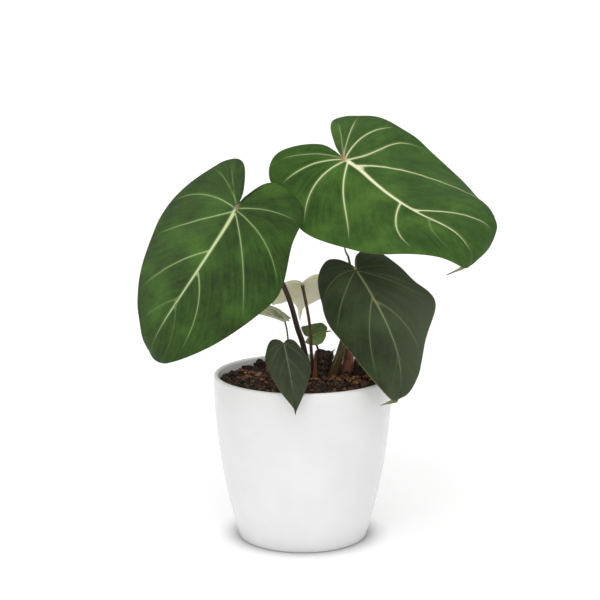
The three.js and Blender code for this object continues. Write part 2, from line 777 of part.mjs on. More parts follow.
for (const [name, leaf] of Object.entries(LEAVES)) {
  const clear = solidOf(blade(leaf, GAP));
  const stalk = solidOf(stalkTube(leaf)).subtract(grownRhizome).subtract(clear);
  buried.push(solidOf(stalkTube(leaf, GAP)));
  add(`blade_${name}`, blade(leaf), leaf.colour, 0.55);
  add(`stalk_${name}`, geometryOf(stalk), leaf.stalk.colour, 0.6);
}

for (const [name, spec] of Object.entries(SHEATHS)) {
  const piece = sheath(spec).subtract(grownRhizome);
  buried.push(sheath(spec, GAP));
  add(`sheath_${name}`, geometryOf(piece), spec.colour, 0.7);
}

add('soil', soil(buried), 0x2e221b, 0.95);

export default plant;
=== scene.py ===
"""Philodendron gloriosum in a white pot: the looks of every piece, over the CAD frame.

Sizes are in millimetres and become metres when a mesh is made. The pot's axis is Z, its foot
stands at Z = 0, and the plant's front faces -Y.
"""

from math import cos, pi, radians, sin, tau

import bmesh
import bpy
import numpy as np
from mathutils import Euler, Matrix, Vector, noise


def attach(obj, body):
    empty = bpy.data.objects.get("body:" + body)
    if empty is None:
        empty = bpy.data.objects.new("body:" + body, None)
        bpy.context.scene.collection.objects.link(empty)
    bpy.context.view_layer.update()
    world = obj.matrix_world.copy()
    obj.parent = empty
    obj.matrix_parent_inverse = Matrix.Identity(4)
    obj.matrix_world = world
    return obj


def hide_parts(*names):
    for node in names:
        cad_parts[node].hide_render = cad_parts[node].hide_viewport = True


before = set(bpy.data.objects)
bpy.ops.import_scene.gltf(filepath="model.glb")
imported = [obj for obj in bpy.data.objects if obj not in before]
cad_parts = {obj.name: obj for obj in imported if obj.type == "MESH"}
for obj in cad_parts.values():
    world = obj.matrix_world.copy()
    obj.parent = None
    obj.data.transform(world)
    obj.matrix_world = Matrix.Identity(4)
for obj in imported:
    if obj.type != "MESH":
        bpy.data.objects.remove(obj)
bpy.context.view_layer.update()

MM = 0.001

# ---------------------------------------------------------------- values shared with the CAD

GAP = 0.3  # air between pieces that touch

POT_HEIGHT = 131
POT_RIM_RADIUS = 70
POT_TAPER = 19.5  # how much narrower the belly is at the foot than at the rim
POT_FOOT_ROUND = 1.5
POT_WALL = 3.5
POT_FLOOR = 3.5
POT_FLOOR_ROUND = 5

SOIL_LEVEL = 124.5
SOIL_MOUND = (20, 5, 2.5, 26)  # x, y, height, spread
SOIL_LUMPS = 1.5

RHIZOME_PATH = [
    (-17, 9, 119.5), (-7, 5, 121), (6, 4, 121.5), (18, 8, 122), (30, 14, 124.5), (41, 17, 128.5),
    (51, 21, 123),
]
RHIZOME_RADII = [3.5, 6, 7.2, 7.4, 7, 7, 5.5]
OLD_END_PATH = [(13, 8, 118), (15.2, 8, 135), (17.7, 7, 146.6)]
OLD_END_RADII = [6.9, 7.3, 7.2]
SCAR_SPACING = 5
SCAR_DEPTH = 0.55

MIDRIB_DEPTH = 2.2  # how deep a rib stands out beneath a blade, in blade thicknesses
VEIN_DEPTH = 0.7
SLIMMING = 0.62  # the share of its length, from the foot, over which a stalk grows slimmer

SMALL_VEINS = [(0, 0.18, 8, 0), (0, 0.33, 14, 0), (0, 0.52, 14, 0), (0.22, 0.7, 14, 0), (0.5, 0.85, 12, 0)]

# A leaf lies along its midrib from the junction with the stalk, at `at`, to its drip tip.
# heading, dip and roll (degrees) turn it there; bend, tip_bend and lobe_bend arch the midrib,
# and fold, curl, twist and waves shape each half. sway and hook (length, sideways reach)
# carry the tip aside. outline is a half outline, along and out from the midrib, and each
# vein is (start along the midrib, end along the outline, bow in degrees, snaking in mm).
# wander is how far the midrib strays to the left: (share of its length, mm). shows says how
# strongly each vein shows. The small leaves are 0.8 mm thick, with straight midribs and
# SMALL_VEINS. The outlines and their place are the CAD's, but wander, the snaking, shows and
# the veins of the three large leaves are finer here than in the CAD.
LEAVES = {
    "left": dict(
        at=(-49.5, -40, 268), heading=-137.5, dip=47, roll=-46.5, length=139, width=56.5,
        thickness=0.9, puff=1.1, bend=30, tip_bend=69, lobe_bend=10, twist=18, sway=-1, hook=(7, -2),
        wander=[(0, 0), (0.12, 1.2), (0.3, 1.2), (0.5, 0.6), (0.75, -0.8), (1, 0)],
        left=dict(
            fold=10, curl=-16, waves=(0.5, -2.5, 5.5, 0),
            outline=[
                (-12, 2.5), (-30, 14.5), (-24.5, 43.5), (4.5, 51), (35, 61.5), (55.5, 60.5), (93, 45.5),
                (121, 21.5), (133, 4),
            ],
            veins=[
                (0, 0.1, 12, 0), (0.015, 0.3, 17, 0), (0.02, 0.535, 24, 0), (0.025, 0.67, 7, 0),
                (0.41, 0.86, 20, 0), (0.62, 0.91, 12, 0),
            ],
            shows=(0, 0.75, 0.75, 0.85, 0.8, 0.15),
        ),
        right=dict(
            fold=-5, curl=-37, waves=(-3, -3, 1, -1.5),
            outline=[
                (-16, 3.5), (-36, 16.5), (-29.5, 31.5), (6.5, 53), (27.5, 59), (54, 56), (87, 40),
                (114, 19.5), (133, 4.5),
            ],
            veins=[
                (0, 0.2, -7, 0), (0, 0.265, 15, 0), (0.015, 0.45, 26, 0), (0.03, 0.575, -7, 0),
                (0.285, 0.78, 15, 0), (0.59, 0.89, 20, 0),
            ],
            shows=(0.4, 0.6, 0.95, 1, 0.9, 0.2),
        ),
        stalk=dict(
            path=[
                (5.5, 3, 122), (0, -2, 154), (-4.3, -7, 168.3), (-9.4, -15, 188.7), (-14.7, -20, 203.5),
                (-32, -29, 240),
            ],
            radius=(2.4, 1.9),
        ),
    ),
    "upper": dict(
        at=(31, 15, 298.5), heading=-22, dip=41, roll=33.5, length=152, width=72.5,
        thickness=0.9, puff=1.4, bend=-63, tip_bend=218, lobe_bend=23, twist=-15, sway=-6.5, hook=(11, -16),
        wander=[
            (0, 0), (0.1, 2.8), (0.2, 1.7), (0.3, 0.2), (0.4, -1), (0.53, -2.7), (0.64, -2), (0.78, 0),
            (1, 0),
        ],
        left=dict(
            fold=2, curl=-18, waves=(-1.5, -4.5, -0.5, -6),
            outline=[
                (-15.5, 9.5), (-33, 29), (-19.5, 53.5), (-2, 65.5), (28, 74.5), (66, 75.5), (102, 53),
                (136.5, 32.5), (141, 4),
            ],
            veins=[
                (0, 0.17, -1, 0), (0, 0.24, 10, 0), (0.01, 0.365, 26, 0), (0.02, 0.46, 17, -3.5),
                (0.07, 0.81, 37, 0), (0.49, 0.86, 13, 0),
            ],
            shows=(0.3, 0.8, 1, 1, 1, 1),
        ),
        right=dict(
            fold=2, curl=-26, waves=(5.5, -4.5, 0, 0.5),
            outline=[
                (-19.5, 5), (-37, 35), (-26.5, 56), (1.5, 64), (23.5, 72.5), (61.5, 69), (97.5, 61.5),
                (131, 23), (140.5, 3.5),
            ],
            veins=[
                (0.01, 0.23, 17, 0), (0.015, 0.315, 22, 0), (0.02, 0.465, 31, 0), (0.03, 0.6, 8, 1.5),
                (0.4, 0.78, 27, 0), (0.59, 0.89, 29, 0),
            ],
            shows=(0.35, 1, 1, 1, 1, 0.12),
        ),
        stalk=dict(
            path=[
                (21.5, 4, 123.5), (24.9, 2, 132.8), (29.8, 0, 149.3), (38, 6, 185), (35.8, 13, 220),
                (33.2, 13.5, 226), (30.5, 14.5, 245),
            ],
            radius=(4.4, 0.55),
        ),
    ),
    "right": dict(
        at=(40, -35, 219), heading=-51, dip=32.5, roll=13, length=124, width=43,
        thickness=0.9, puff=0.9, bend=85, tip_bend=39, lobe_bend=21, twist=-8, sway=3.5, hook=(10, -12),
        wander=[(0, 0), (0.2, -1.2), (0.45, -0.4), (0.6, 0.4), (1, 0)],
        left=dict(
            fold=2, curl=10, waves=(-10.5, -6, -0.5, -3),
            outline=[
                (-7.5, 5), (-24.5, 21.5), (-20.5, 32.5), (3.5, 37.5), (22.5, 40.5), (47, 48.5), (75.5, 27),
                (110, 7.5), (114.5, 2),
            ],
            veins=[
                (0, 0.1, 12, 0), (0, 0.22, 16, 0), (0, 0.38, 18, 0), (0.01, 0.56, 4, 0), (0.24, 0.8, 22, 0),
                (0.62, 0.86, 12, 0),
            ],
            shows=(0, 0.2, 0.4, 0.7, 0.8, 0.1),
        ),
        right=dict(
            fold=-16, curl=-27, waves=(-4.5, -10, 3, -0.5),
            outline=[
                (-13.5, 1), (-27.5, 9.5), (-21, 26.5), (3.5, 39), (24.5, 42), (44, 39), (79.5, 26.5),
                (106, 10), (114, 2),
            ],
            veins=[
                (0, 0.1, 12, 0), (0, 0.22, 16, 0), (0, 0.38, 35, 0), (0, 0.56, 18, 0), (0.21, 0.82, 24, 0),
                (0.62, 0.89, 12, 0),
            ],
            shows=(0, 0.15, 0.6, 0.8, 0.8, 0.1),
        ),
        stalk=dict(
            path=[(41, 16, 122), (43.5, 13, 140), (48, 8, 168), (47, -8, 196), (43, -24, 212)],
            radius=(3.2, 1.6),
        ),
    ),
    "front": dict(
        at=(-14.5, -57, 167), heading=-75, dip=41.5, roll=-1.5, length=57.5, width=19,
        puff=0.5, bend=40, tip_bend=26, lobe_bend=1, twist=4, sway=3.5, hook=(6, 0),
        left=dict(
            fold=4, curl=-11, waves=(-0.5, -4),
            outline=[
                (-2.5, 2), (-5, 5), (-4.5, 10), (1, 13.5), (13.5, 18), (25.5, 15.5), (38, 9), (51.5, 1.5),
            ],
            shows=(0.2, 0.55, 0.45, 0.3, 0.1),
        ),
        right=dict(
            fold=5, curl=-15, waves=(0, -3.5),
            outline=[
                (-2.5, 2), (-5, 4.5), (-4.5, 9), (1.5, 13), (13, 16.5), (26, 15), (39.5, 10), (51.5, 1.5),
            ],
            shows=(0.2, 0.5, 0.35, 0.2, 0.1),
        ),
        stalk=dict(
            path=[(-8, 3, 120), (-9.5, -18, 141), (-12, -38, 156), (-14, -51, 163.5)],
            radius=(1.5, 1),
        ),
    ),
    "folded": dict(
        at=(-12.8, -22, 177.8), heading=177, dip=-23, roll=25.5, length=42.5, width=12.5,
        puff=0.3, bend=30, tip_bend=25, lobe_bend=0, twist=3, sway=0, hook=(5, 0),
        left=dict(
            fold=25, curl=-12, waves=(-0.5, -1.5),
            outline=[
                (-1.5, 1.5), (-1, 4), (-2.5, 6.5), (0.5, 8.5), (8.5, 13), (18.5, 13), (28, 7.5),
                (37.5, 1.5),
            ],
            shows=(0.5,) * 5,
        ),
        right=dict(
            fold=24, curl=-12, waves=(-1, -0.5),
            outline=[
                (-0.5, 1), (-2, 4), (-3, 7.5), (-0.5, 12), (8.5, 13.5), (18.5, 12.5), (28, 7.5),
                (37.5, 1.5),
            ],
            shows=(0.5,) * 5,
        ),
        stalk=dict(
            path=[(-8, 7, 120), (-10.2, -4, 143), (-11.6, -14.5, 161), (-12.6, -18.5, 170.4)],
            radius=(0.95, 0.65),
        ),
    ),
    "young": dict(
        at=(-0.5, 8, 201), heading=88.5, dip=29, roll=-7, length=63, width=29,
        puff=0.5, bend=6, tip_bend=61, lobe_bend=0, twist=-4, sway=4.5, hook=(9, 0),
        left=dict(
            fold=9, curl=-63, waves=(0.5, -1),
            outline=[
                (-5, 2), (-10.5, 9), (-10.5, 19), (-2.5, 27), (12, 28), (21, 25.5), (34, 17.5), (38.5, 9),
                (49.5, 3), (57.5, 1.5),
            ],
            shows=(0.5,) * 5,
        ),
        right=dict(
            fold=10, curl=-62, waves=(1.5, 1.5),
            outline=[
                (-5, 3.5), (-12.5, 9.5), (-14, 18), (-2, 27), (13, 28.5), (26, 21), (43, 11), (49.5, 3),
                (58, 1),
            ],
            shows=(0.5,) * 5,
        ),
        stalk=dict(
            path=[(9, 6, 121), (6.7, 3.5, 144.5), (5.4, 2.3, 167.3), (3.2, 2.2, 182), (1.2, 2.8, 192)],
            radius=(1.45, 1.25),
        ),
    ),
    "inner": dict(
        at=(5, 16.5, 156.5), heading=-19.5, dip=-21.5, roll=45, length=19, width=14,
        puff=0.3, bend=10, tip_bend=21, lobe_bend=0, twist=-12, sway=1, hook=(4, 0),
        left=dict(
            fold=6, curl=-20, waves=(0, 2),
            outline=[
                (-3, 1.5), (-4.5, 4.5), (-5.5, 10), (-0.5, 10.5), (5.5, 12.5), (10.5, 12.5), (15, 6),
                (15, 1),
            ],
            shows=(0.3,) * 5,
        ),
        right=dict(
            fold=9, curl=-15, waves=(1.5, -1),
            outline=[
                (-1, 3.5), (-3.5, 4), (-1.5, 7), (1.5, 9.5), (5.5, 12), (12.5, 14), (15.5, 8), (15, 1.5),
            ],
            shows=(0.3,) * 5,
        ),
        stalk=dict(path=[(11, 12, 122), (12.6, 18, 140), (10.5, 20, 150)], radius=(1.2, 0.85)),
    ),
}

SHEATHS = {
    "large": dict(foot=(34, 8.5, 121), top=(38.5, 8, 160), radius=(5.2, 3.6), spread=75, facing=-100),
    "small": dict(foot=(9.5, 1.5, 122), top=(9.6, 1.2, 149), radius=(2.2, 1.3), spread=65, facing=-80),
}
SHEATH_THICKNESS = 0.8

# ---------------------------------------------------------------- camera

CAMERA_PLACE = (-2.3, -1324, 443)  # mm
CAMERA_PITCH = 10.85  # degrees below level
CAMERA_LENS = 103.74  # mm
CAMERA_SENSOR = 36  # mm


def place_camera():
    data = bpy.data.cameras.new("camera")
    data.lens = CAMERA_LENS
    data.sensor_width = CAMERA_SENSOR
    data.clip_end = 100
    camera = put("camera", data)
    camera.location = Vector(CAMERA_PLACE) * MM
    camera.rotation_euler = (radians(90 - CAMERA_PITCH), 0, 0)
    bpy.context.scene.camera = camera


# ---------------------------------------------------------------- small helpers


def lerp(a, b, t):
    return a + (b - a) * t


def smooth(low, high, x):
    """0 below low, 1 above high, and an S curve between."""
    t = np.clip((np.asarray(x, float) - low) / (high - low), 0, 1)
    return t * t * (3 - 2 * t)


def colour(code):
    """A colour given as sRGB hex, as the linear RGBA that a shader takes."""
    parts = [int(code[i : i + 2], 16) / 255 for i in (0, 2, 4)]
    linear = [p / 12.92 if p <= 0.04045 else ((p + 0.055) / 1.055) ** 2.4 for p in parts]
    return (*linear, 1)


def put(name, data):
    """An object in the scene, at the origin, from its mesh, camera or light."""
    made = bpy.data.objects.new(name, data)
    bpy.context.scene.collection.objects.link(made)
    return made


def piece(name, points, faces, material, node=None, attributes=None, smooth_angle=None):
    """A mesh object from points in mm, which rides on the frame and may replace a CAD node."""
    mesh = bpy.data.meshes.new(name)
    mesh.from_pydata((np.asarray(points, float) * MM).tolist(), [], faces)
    for key, values in (attributes or {}).items():
        values = np.asarray(values, np.float32)
        kind = "FLOAT" if values.ndim == 1 else "FLOAT_VECTOR"
        layer = mesh.attributes.new(key, kind, "POINT")
        layer.data.foreach_set("value" if values.ndim == 1 else "vector", values.ravel())
    mesh.shade_smooth()
    if smooth_angle is not None:
        mesh.set_sharp_from_angle(angle=radians(smooth_angle))
    for one in material if isinstance(material, list) else [material]:
        mesh.materials.append(one)
    made = put(name, mesh)
    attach(made, "root")
    if node:
        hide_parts(node)
    return made


def new_material(name):
    """A material with an empty node tree."""
    material = bpy.data.materials.new(name)
    material.use_nodes = True
    material.node_tree.nodes.clear()
    return material, material.node_tree


def add(tree, kind, inputs=None, **settings):
    """A node with its settings. Each input, by its name or number, takes a value, or a link from
    a socket or from a node's first socket in use."""
    made = tree.nodes.new(kind if "Node" in kind else "ShaderNode" + kind)
    for key, value in settings.items():
        setattr(made, key, value)
    for key, value in (inputs or {}).items():
        named = [s for s in made.inputs if s.name == key and s.enabled]
        socket = named[0] if named else made.inputs[key]
        if isinstance(value, bpy.types.Node):
            value = next(s for s in value.outputs if s.enabled)
        if isinstance(value, bpy.types.NodeSocket):
            tree.links.new(value, socket)
        else:
            socket.default_value = value
    return made


SOFT = dict(interpolation_type="SMOOTHSTEP")  # for a Map Range node: value, from low, high, to low, high
COLOURS = dict(data_type="RGBA")  # for a Mix node


def layered(tree, skin, layers):
    """A skin with tints laid over it in turn. Each layer is a pattern, its low and high ends, a
    tint, and the tint's share at the high end (1) and at the low end (0)."""
    for pattern, low, high, tint, *shares in layers:
        most, least = (*shares, *(1, 0)[len(shares) :])
        share = add(tree, "MapRange", {0: pattern, 1: low, 2: high, 3: least, 4: most}, **SOFT)
        skin = add(tree, "Mix", {"Factor": share, "A": skin, "B": colour(tint)}, **COLOURS)
    return skin


# ---------------------------------------------------------------- curves and tubes


def cubic(a, b, slope_a, slope_b, t):
    """The cubic from a to b that leaves and arrives with the given slopes."""
    third = 2 * a - 2 * b + slope_a + slope_b
    second = -3 * a + 3 * b - 2 * slope_a - slope_b
    return third * t**3 + second * t**2 + slope_a * t + a


def reach_along(curve):
    """How far along the curve each of its points is."""
    return np.concatenate([[0], np.cumsum(np.linalg.norm(np.diff(curve, axis=0), axis=1))])


def even_spline(points, steps=16):
    """A smooth curve through points (uniform Catmull-Rom), with each point's share of its length."""
    p = np.asarray(points, float)
    padded = np.vstack([p[0], p, p[-1]])
    t = np.linspace(0, 1, steps, endpoint=False)[:, None]
    runs = []
    for a, b, c, d in zip(padded, padded[1:], padded[2:], padded[3:]):
        runs.append(cubic(b, c, (c - a) / 2, (d - b) / 2, t))
    curve = np.vstack([*runs, p[-1:]])
    reach = reach_along(curve)
    return curve, reach / reach[-1]


def stalk_curve(points, count):
    """count even points along the smooth curve (centripetal Catmull-Rom) through points."""
    p = np.asarray(points, float)
    padded = np.vstack([2 * p[0] - p[1], p, 2 * p[-1] - p[-2]])
    t = np.linspace(0, 1, 40, endpoint=False)[:, None]
    runs = []
    for a, b, c, d in zip(padded, padded[1:], padded[2:], padded[3:]):
        ab, bc, cd = (np.linalg.norm(y - x) ** 0.5 for x, y in ((a, b), (b, c), (c, d)))
        v0 = bc * ((b - a) / ab - (c - a) / (ab + bc) + (c - b) / bc)
        v1 = bc * ((c - b) / bc - (d - b) / (bc + cd) + (d - c) / cd)
        runs.append(cubic(b, c, v0, v1, t))
    curve = np.vstack([*runs, p[-1:]])
    reach = reach_along(curve)
    even = np.linspace(0, reach[-1], count)
    return np.column_stack([np.interp(even, reach, curve[:, k]) for k in range(3)]), reach[-1]


def tube(curve, length, radius_at, sides):
    """Points, faces and the tube's own coordinates: out to both sides and along, in mm.
    radius_at takes the angle around and the mm along, both as arrays."""
    tangents = np.gradient(curve, axis=0)
    tangents /= np.linalg.norm(tangents, axis=1)[:, None]
    side = np.cross(tangents[0], (1, 0, 0) if abs(tangents[0][0]) < 0.8 else (0, 1, 0))
    normals = []
    for tangent in tangents:
        side = side - tangent * np.dot(side, tangent)
        side /= np.linalg.norm(side)
        normals.append(side)
    normals = np.array(normals)
    binormals = np.cross(tangents, normals)
    rings = len(curve)
    angle = np.linspace(0, tau, sides, endpoint=False)[None, :]
    along = np.linspace(0, length, rings)[:, None]
    radius = radius_at(angle, along) * np.ones((rings, sides))
    out = normals[:, None, :] * np.cos(angle)[..., None] + binormals[:, None, :] * np.sin(angle)[..., None]
    points = (curve[:, None, :] + out * radius[..., None]).reshape(-1, 3)
    faces = []
    for i in range(rings - 1):
        for k in range(sides):
            n = (k + 1) % sides
            faces.append((i * sides + k, i * sides + n, (i + 1) * sides + n, (i + 1) * sides + k))
    faces.append(tuple(range(sides))[::-1])
    faces.append(tuple(range((rings - 1) * sides, rings * sides)))
    wrapped = np.stack([
        np.cos(angle) * radius, np.sin(angle) * radius, along * np.ones_like(radius),
    ], axis=-1)
    return points, faces, wrapped.reshape(-1, 3)


# ---------------------------------------------------------------- leaf shape


class Leaf:
    """The curved surface of one leaf, from its values in LEAVES."""

    def __init__(self, name):
        self.thickness = 0.8
        self.wander = [(0, 0), (1, 0)]
        self.__dict__.update(LEAVES[name])
        us = np.linspace(-0.45 * self.length, self.length, 400)
        slope = self.slope(us)
        middle = (slope[1:] + slope[:-1]) / 2
        step = us[1] - us[0]
        along = np.concatenate([[0], np.cumsum(np.cos(middle) * step)])
        up = np.concatenate([[0], np.cumsum(np.sin(middle) * step)])
        self.us = us
        self.along = along - np.interp(0, us, along)
        self.up = up - np.interp(0, us, up)
        turn = Euler((radians(self.roll), 0, 0)).to_matrix()
        turn = Euler((0, radians(self.dip), 0)).to_matrix() @ turn
        turn = Euler((0, 0, radians(self.heading))).to_matrix() @ turn
        self.turn = np.array(turn)
        self.strayed = even_spline(self.wander)[0]

    def slope(self, u):
        x = u / self.length
        lobes = -radians(self.lobe_bend) * x
        body = -radians(self.bend) * x - radians(self.tip_bend) * np.clip(x, 0, None) ** 6
        return np.where(x < 0, lobes, body)

    def stray(self, u):
        """How far to the left of the middle line the midrib runs at u, in mm."""
        return np.interp(u / self.length, self.strayed[:, 0], self.strayed[:, 1])

    def place(self, sign, u, v, lift):
        """Points at u along and v out from the middle line, raised by lift, in the plant's frame."""
        half = self.left if sign > 0 else self.right
        fold = radians(half["fold"]) + sign * radians(self.twist) * u / self.length
        curl = radians(half["curl"]) / self.width
        lean = fold + curl * v
        across = (np.sin(lean) - np.sin(fold)) / curl - np.sin(lean) * lift
        above = (np.cos(fold) - np.cos(lean)) / curl + np.cos(lean) * lift
        slope = self.slope(u)
        hook_length, hook_reach = self.hook
        hooked = np.clip((u - self.length + hook_length) / hook_length, 0, None) ** 2
        aside = self.sway * np.clip(u / self.length, 0, None) ** 2 + hook_reach * hooked
        local = np.stack([
            np.interp(u, self.us, self.along) - np.sin(slope) * above,
            sign * across + aside,
            np.interp(u, self.us, self.up) + np.cos(slope) * above,
        ], axis=-1)
        return local @ self.turn.T + np.array(self.at)


class HalfLeaf:
    """One half's chart: s counts the veins from the sinus (0) to the tip, and t runs from the
    midrib (0) to the margin (1)."""

    def __init__(self, leaf, sign):
        self.leaf = leaf
        self.sign = sign
        half = leaf.left if sign > 0 else leaf.right
        self.waves = half["waves"]
        self.shows = half["shows"]
        self.outline, self.share = even_spline([(0, 0), *half["outline"], (leaf.length, 0)])
        rows = zip((0, 0, 0, 0), *half.get("veins", SMALL_VEINS), (1, 1, 0, 0))
        self.starts, self.ends, self.bows, self.snakes = map(np.array, rows)
        self.count = len(self.ends) - 1
        self.numbers = np.arange(self.count + 1)

    def start(self, s):
        return np.interp(s, self.numbers, self.starts) * self.leaf.length

    def end_share(self, s):
        return np.interp(s, self.numbers, self.ends)

    def flat(self, s, t):
        """Along and out from the middle line on the flattened leaf: veins are bowed lines."""
        start = self.start(s)
        start = np.stack([start, self.sign * self.leaf.stray(start)], axis=-1)
        share = self.end_share(s)
        end = np.stack([np.interp(share, self.share, self.outline[:, k]) for k in (0, 1)], axis=-1)
        chord = end - start
        aside = np.stack([-chord[..., 1], chord[..., 0]], axis=-1)
        bow = np.tan(np.radians(np.interp(s, self.numbers, self.bows)))[..., None] / 2
        middle = start + chord / 2 + bow * aside
        snake = np.interp(s, self.numbers, self.snakes) * np.sin(tau * t)
        t = t[..., None]
        line = (1 - t) ** 2 * start + 2 * t * (1 - t) * middle + t**2 * end
        return line + aside / (np.linalg.norm(aside, axis=-1, keepdims=True) + 0.001) * snake[..., None]

    def stations(self, density):
        """Places of the columns: on every vein, and more between two the longer the margin is."""
        found = []
        for k in range(self.count):
            steps = 2 * max(1, round((self.ends[k + 1] - self.ends[k]) * density / 2))
            found += [k + i / steps for i in range(steps)]
        return found

    def wave(self, s, t):
        m = self.end_share(s)
        return sum(w * np.sin((k + 1) * pi * m) for k, w in enumerate(self.waves)) * t**2

    def puff(self, s, t):
        return self.leaf.puff * np.sin(pi * s) ** 2 * np.sin(0.85 * pi * t**0.8)


# ---------------------------------------------------------------- leaf blades

# half widths in mm of a blade's midrib and of a vein at its base, and how far out it fades away
VEIN_WIDTHS = {
    "left": dict(midrib=1.7, vein=0.66, fade=0.97),
    "upper": dict(midrib=1.9, vein=0.85, fade=0.95),
    "right": dict(midrib=0.95, vein=0.5, fade=0.97),
    "front": dict(midrib=0.6, vein=0.4, fade=0.95),
    "folded": dict(midrib=0.5, vein=0.25, fade=0.95),
    "young": dict(midrib=0.6, vein=0.3, fade=0.9),
    "inner": dict(midrib=0.45, vein=0.2, fade=0.9),
}


def midrib_width(u, leaf, widths):
    return widths["midrib"] * np.clip(1 - u / leaf.length, 0, 1) ** 0.7


def vein_field(half, s, t, rows, widths):
    """How far inside the nearest vein or the midrib each place is, in mm, below 0 outside, and
    how strongly that vein shows."""
    leaf = half.leaf
    spot = half.flat(s, t)
    u, v = spot[:, 0], spot[:, 1]
    off = np.hypot(v - half.sign * leaf.stray(u), np.clip(-u, 0, None))
    field = midrib_width(u, leaf, widths) - off
    show = np.ones_like(field)
    share = np.linspace(0, 1, 6 * rows + 1)
    for k in range(1, half.count):
        line = half.flat(np.full_like(share, k), share)
        apart = np.hypot(u[:, None] - line[None, :, 0], v[:, None] - line[None, :, 1])
        out = share[apart.argmin(axis=1)]
        left = np.clip(1 - out / widths["fade"], 0, 1)
        here = widths["vein"] * left**0.6 - apart.min(axis=1)
        show = np.where(here > field, half.shows[k - 1] * smooth(0, 0.3, left), show)
        field = np.maximum(field, here)
    return field, show


def margin_distance(half, s, t):
    """How far each place is from the margin, in mm."""
    spot = half.flat(s, t)
    line = half.outline[::2]
    apart = np.hypot(spot[:, None, 0] - line[None, :, 0], spot[:, None, 1] - line[None, :, 1])
    return np.where(t >= 1, 0, apart.min(axis=1))


def zip_rows(row_a, row_b):
    """Triangles between two rows of (index, place along the midrib)."""
    i, j, found = 0, 0, []
    while i < len(row_a) - 1 or j < len(row_b) - 1:
        next_a = row_a[i + 1][1] if i < len(row_a) - 1 else np.inf
        next_b = row_b[j + 1][1] if j < len(row_b) - 1 else np.inf
        if next_b <= next_a:
            found.append((row_a[i][0], row_b[j][0], row_b[j + 1][0]))
            j += 1
        else:
            found.append((row_a[i][0], row_b[j][0], row_a[i + 1][0]))
            i += 1
    return [f for f in found if len(set(f)) == 3]


def blade_surface(leaf, widths, spine_steps, rows, density):
    """The middle surface of a blade: points, faces seen from above, rim, ribs and attributes.
    flat is along and across in mm, and the number of the vein; rib and vein are what
    vein_field gives; edge is how far the margin is, and knot is 1 at the junction."""
    groove = 0.3  # mm that the veins are sunk
    halves = [HalfLeaf(leaf, 1), HalfLeaf(leaf, -1)]
    spine_u = np.linspace(0, leaf.length, spine_steps + 1)
    spine = [(i, u) for i, u in enumerate(spine_u)]
    points = [leaf.place(1, spine_u, leaf.stray(spine_u), 0 * spine_u - groove)]
    ribs = [leaf.thickness * np.linspace(MIDRIB_DEPTH, 0.3, spine_steps + 1)]
    field, show = [midrib_width(spine_u, leaf, widths)], [np.ones_like(spine_u)]
    edge = [leaf.width * np.clip(1 - spine_u / leaf.length, 0, 1)]
    flat = [np.column_stack([spine_u, leaf.stray(spine_u), 0 * spine_u])]
    count = spine_steps + 1
    faces, margins = [], []
    for half in halves:
        s_all = np.array(half.stations(density))
        columns = len(s_all)
        s, t = np.meshgrid(s_all[1:], np.arange(1, rows + 1) / rows)
        s, t = s.ravel(), t.ravel()
        spot = half.flat(s, t)
        rib, shown = vein_field(half, s, t, rows, widths)
        sunk = groove * smooth(-1.4, 0.3, rib) * shown
        pleat = 0.16 * leaf.puff * np.cos(6 * pi * s) * np.sin(pi * t) * smooth(0, 2, -rib)
        cockle = np.array([noise.noise(Vector((a / 9, b / 9, half.sign * 3.0))) for a, b in spot])
        lift = half.wave(s, t) + half.puff(s, t) + pleat + 0.35 * leaf.puff * cockle * np.sin(pi * t) - sunk
        points.append(leaf.place(half.sign, spot[:, 0], spot[:, 1], lift))
        ribs.append(leaf.thickness * VEIN_DEPTH * (1 - t) * smooth(-0.9, 0.4, rib))
        field.append(rib)
        show.append(shown)
        edge.append(margin_distance(half, s, t))
        flat.append(np.column_stack([spot[:, 0], half.sign * spot[:, 1], s]))
        previous = spine
        for j in range(rows):
            first = count + j * (columns - 1)
            row = [(0, 0)]
            row += [(first + i, half.start(s_all[i + 1])) for i in range(columns - 1)]
            row.append((spine_steps, leaf.length))
            if j == 0:
                made = zip_rows(previous, row)
            else:
                quads = zip(previous, row, row[1:], previous[1:])
                made = [tuple(dict.fromkeys(corner[0] for corner in quad)) for quad in quads]
            faces += [f[::-1] for f in made] if half.sign > 0 else made
            previous = row
        margins.append([index for index, _ in previous])
        count += rows * (columns - 1)
    rim = margins[1] + margins[0][-2:0:-1]
    flat = np.concatenate(flat)
    attributes = dict(
        rib=np.concatenate(field), vein=np.concatenate(show), edge=np.concatenate(edge), flat=flat,
        knot=np.exp(-((flat[:, 0] - 0.5) ** 2 + flat[:, 1] ** 2) / (widths["midrib"] * 1.9) ** 2),
    )
    return np.concatenate(points), faces, rim, np.concatenate(ribs), attributes


def vertex_normals(points, faces):
    normals = np.zeros_like(points)
    for f in faces:
        a, b, c = points[f[0]], points[f[1]], points[f[-1]]
        normal = np.cross(b - a, c - a)
        for index in f:
            normals[index] += normal
    return normals / np.linalg.norm(normals, axis=1)[:, None]


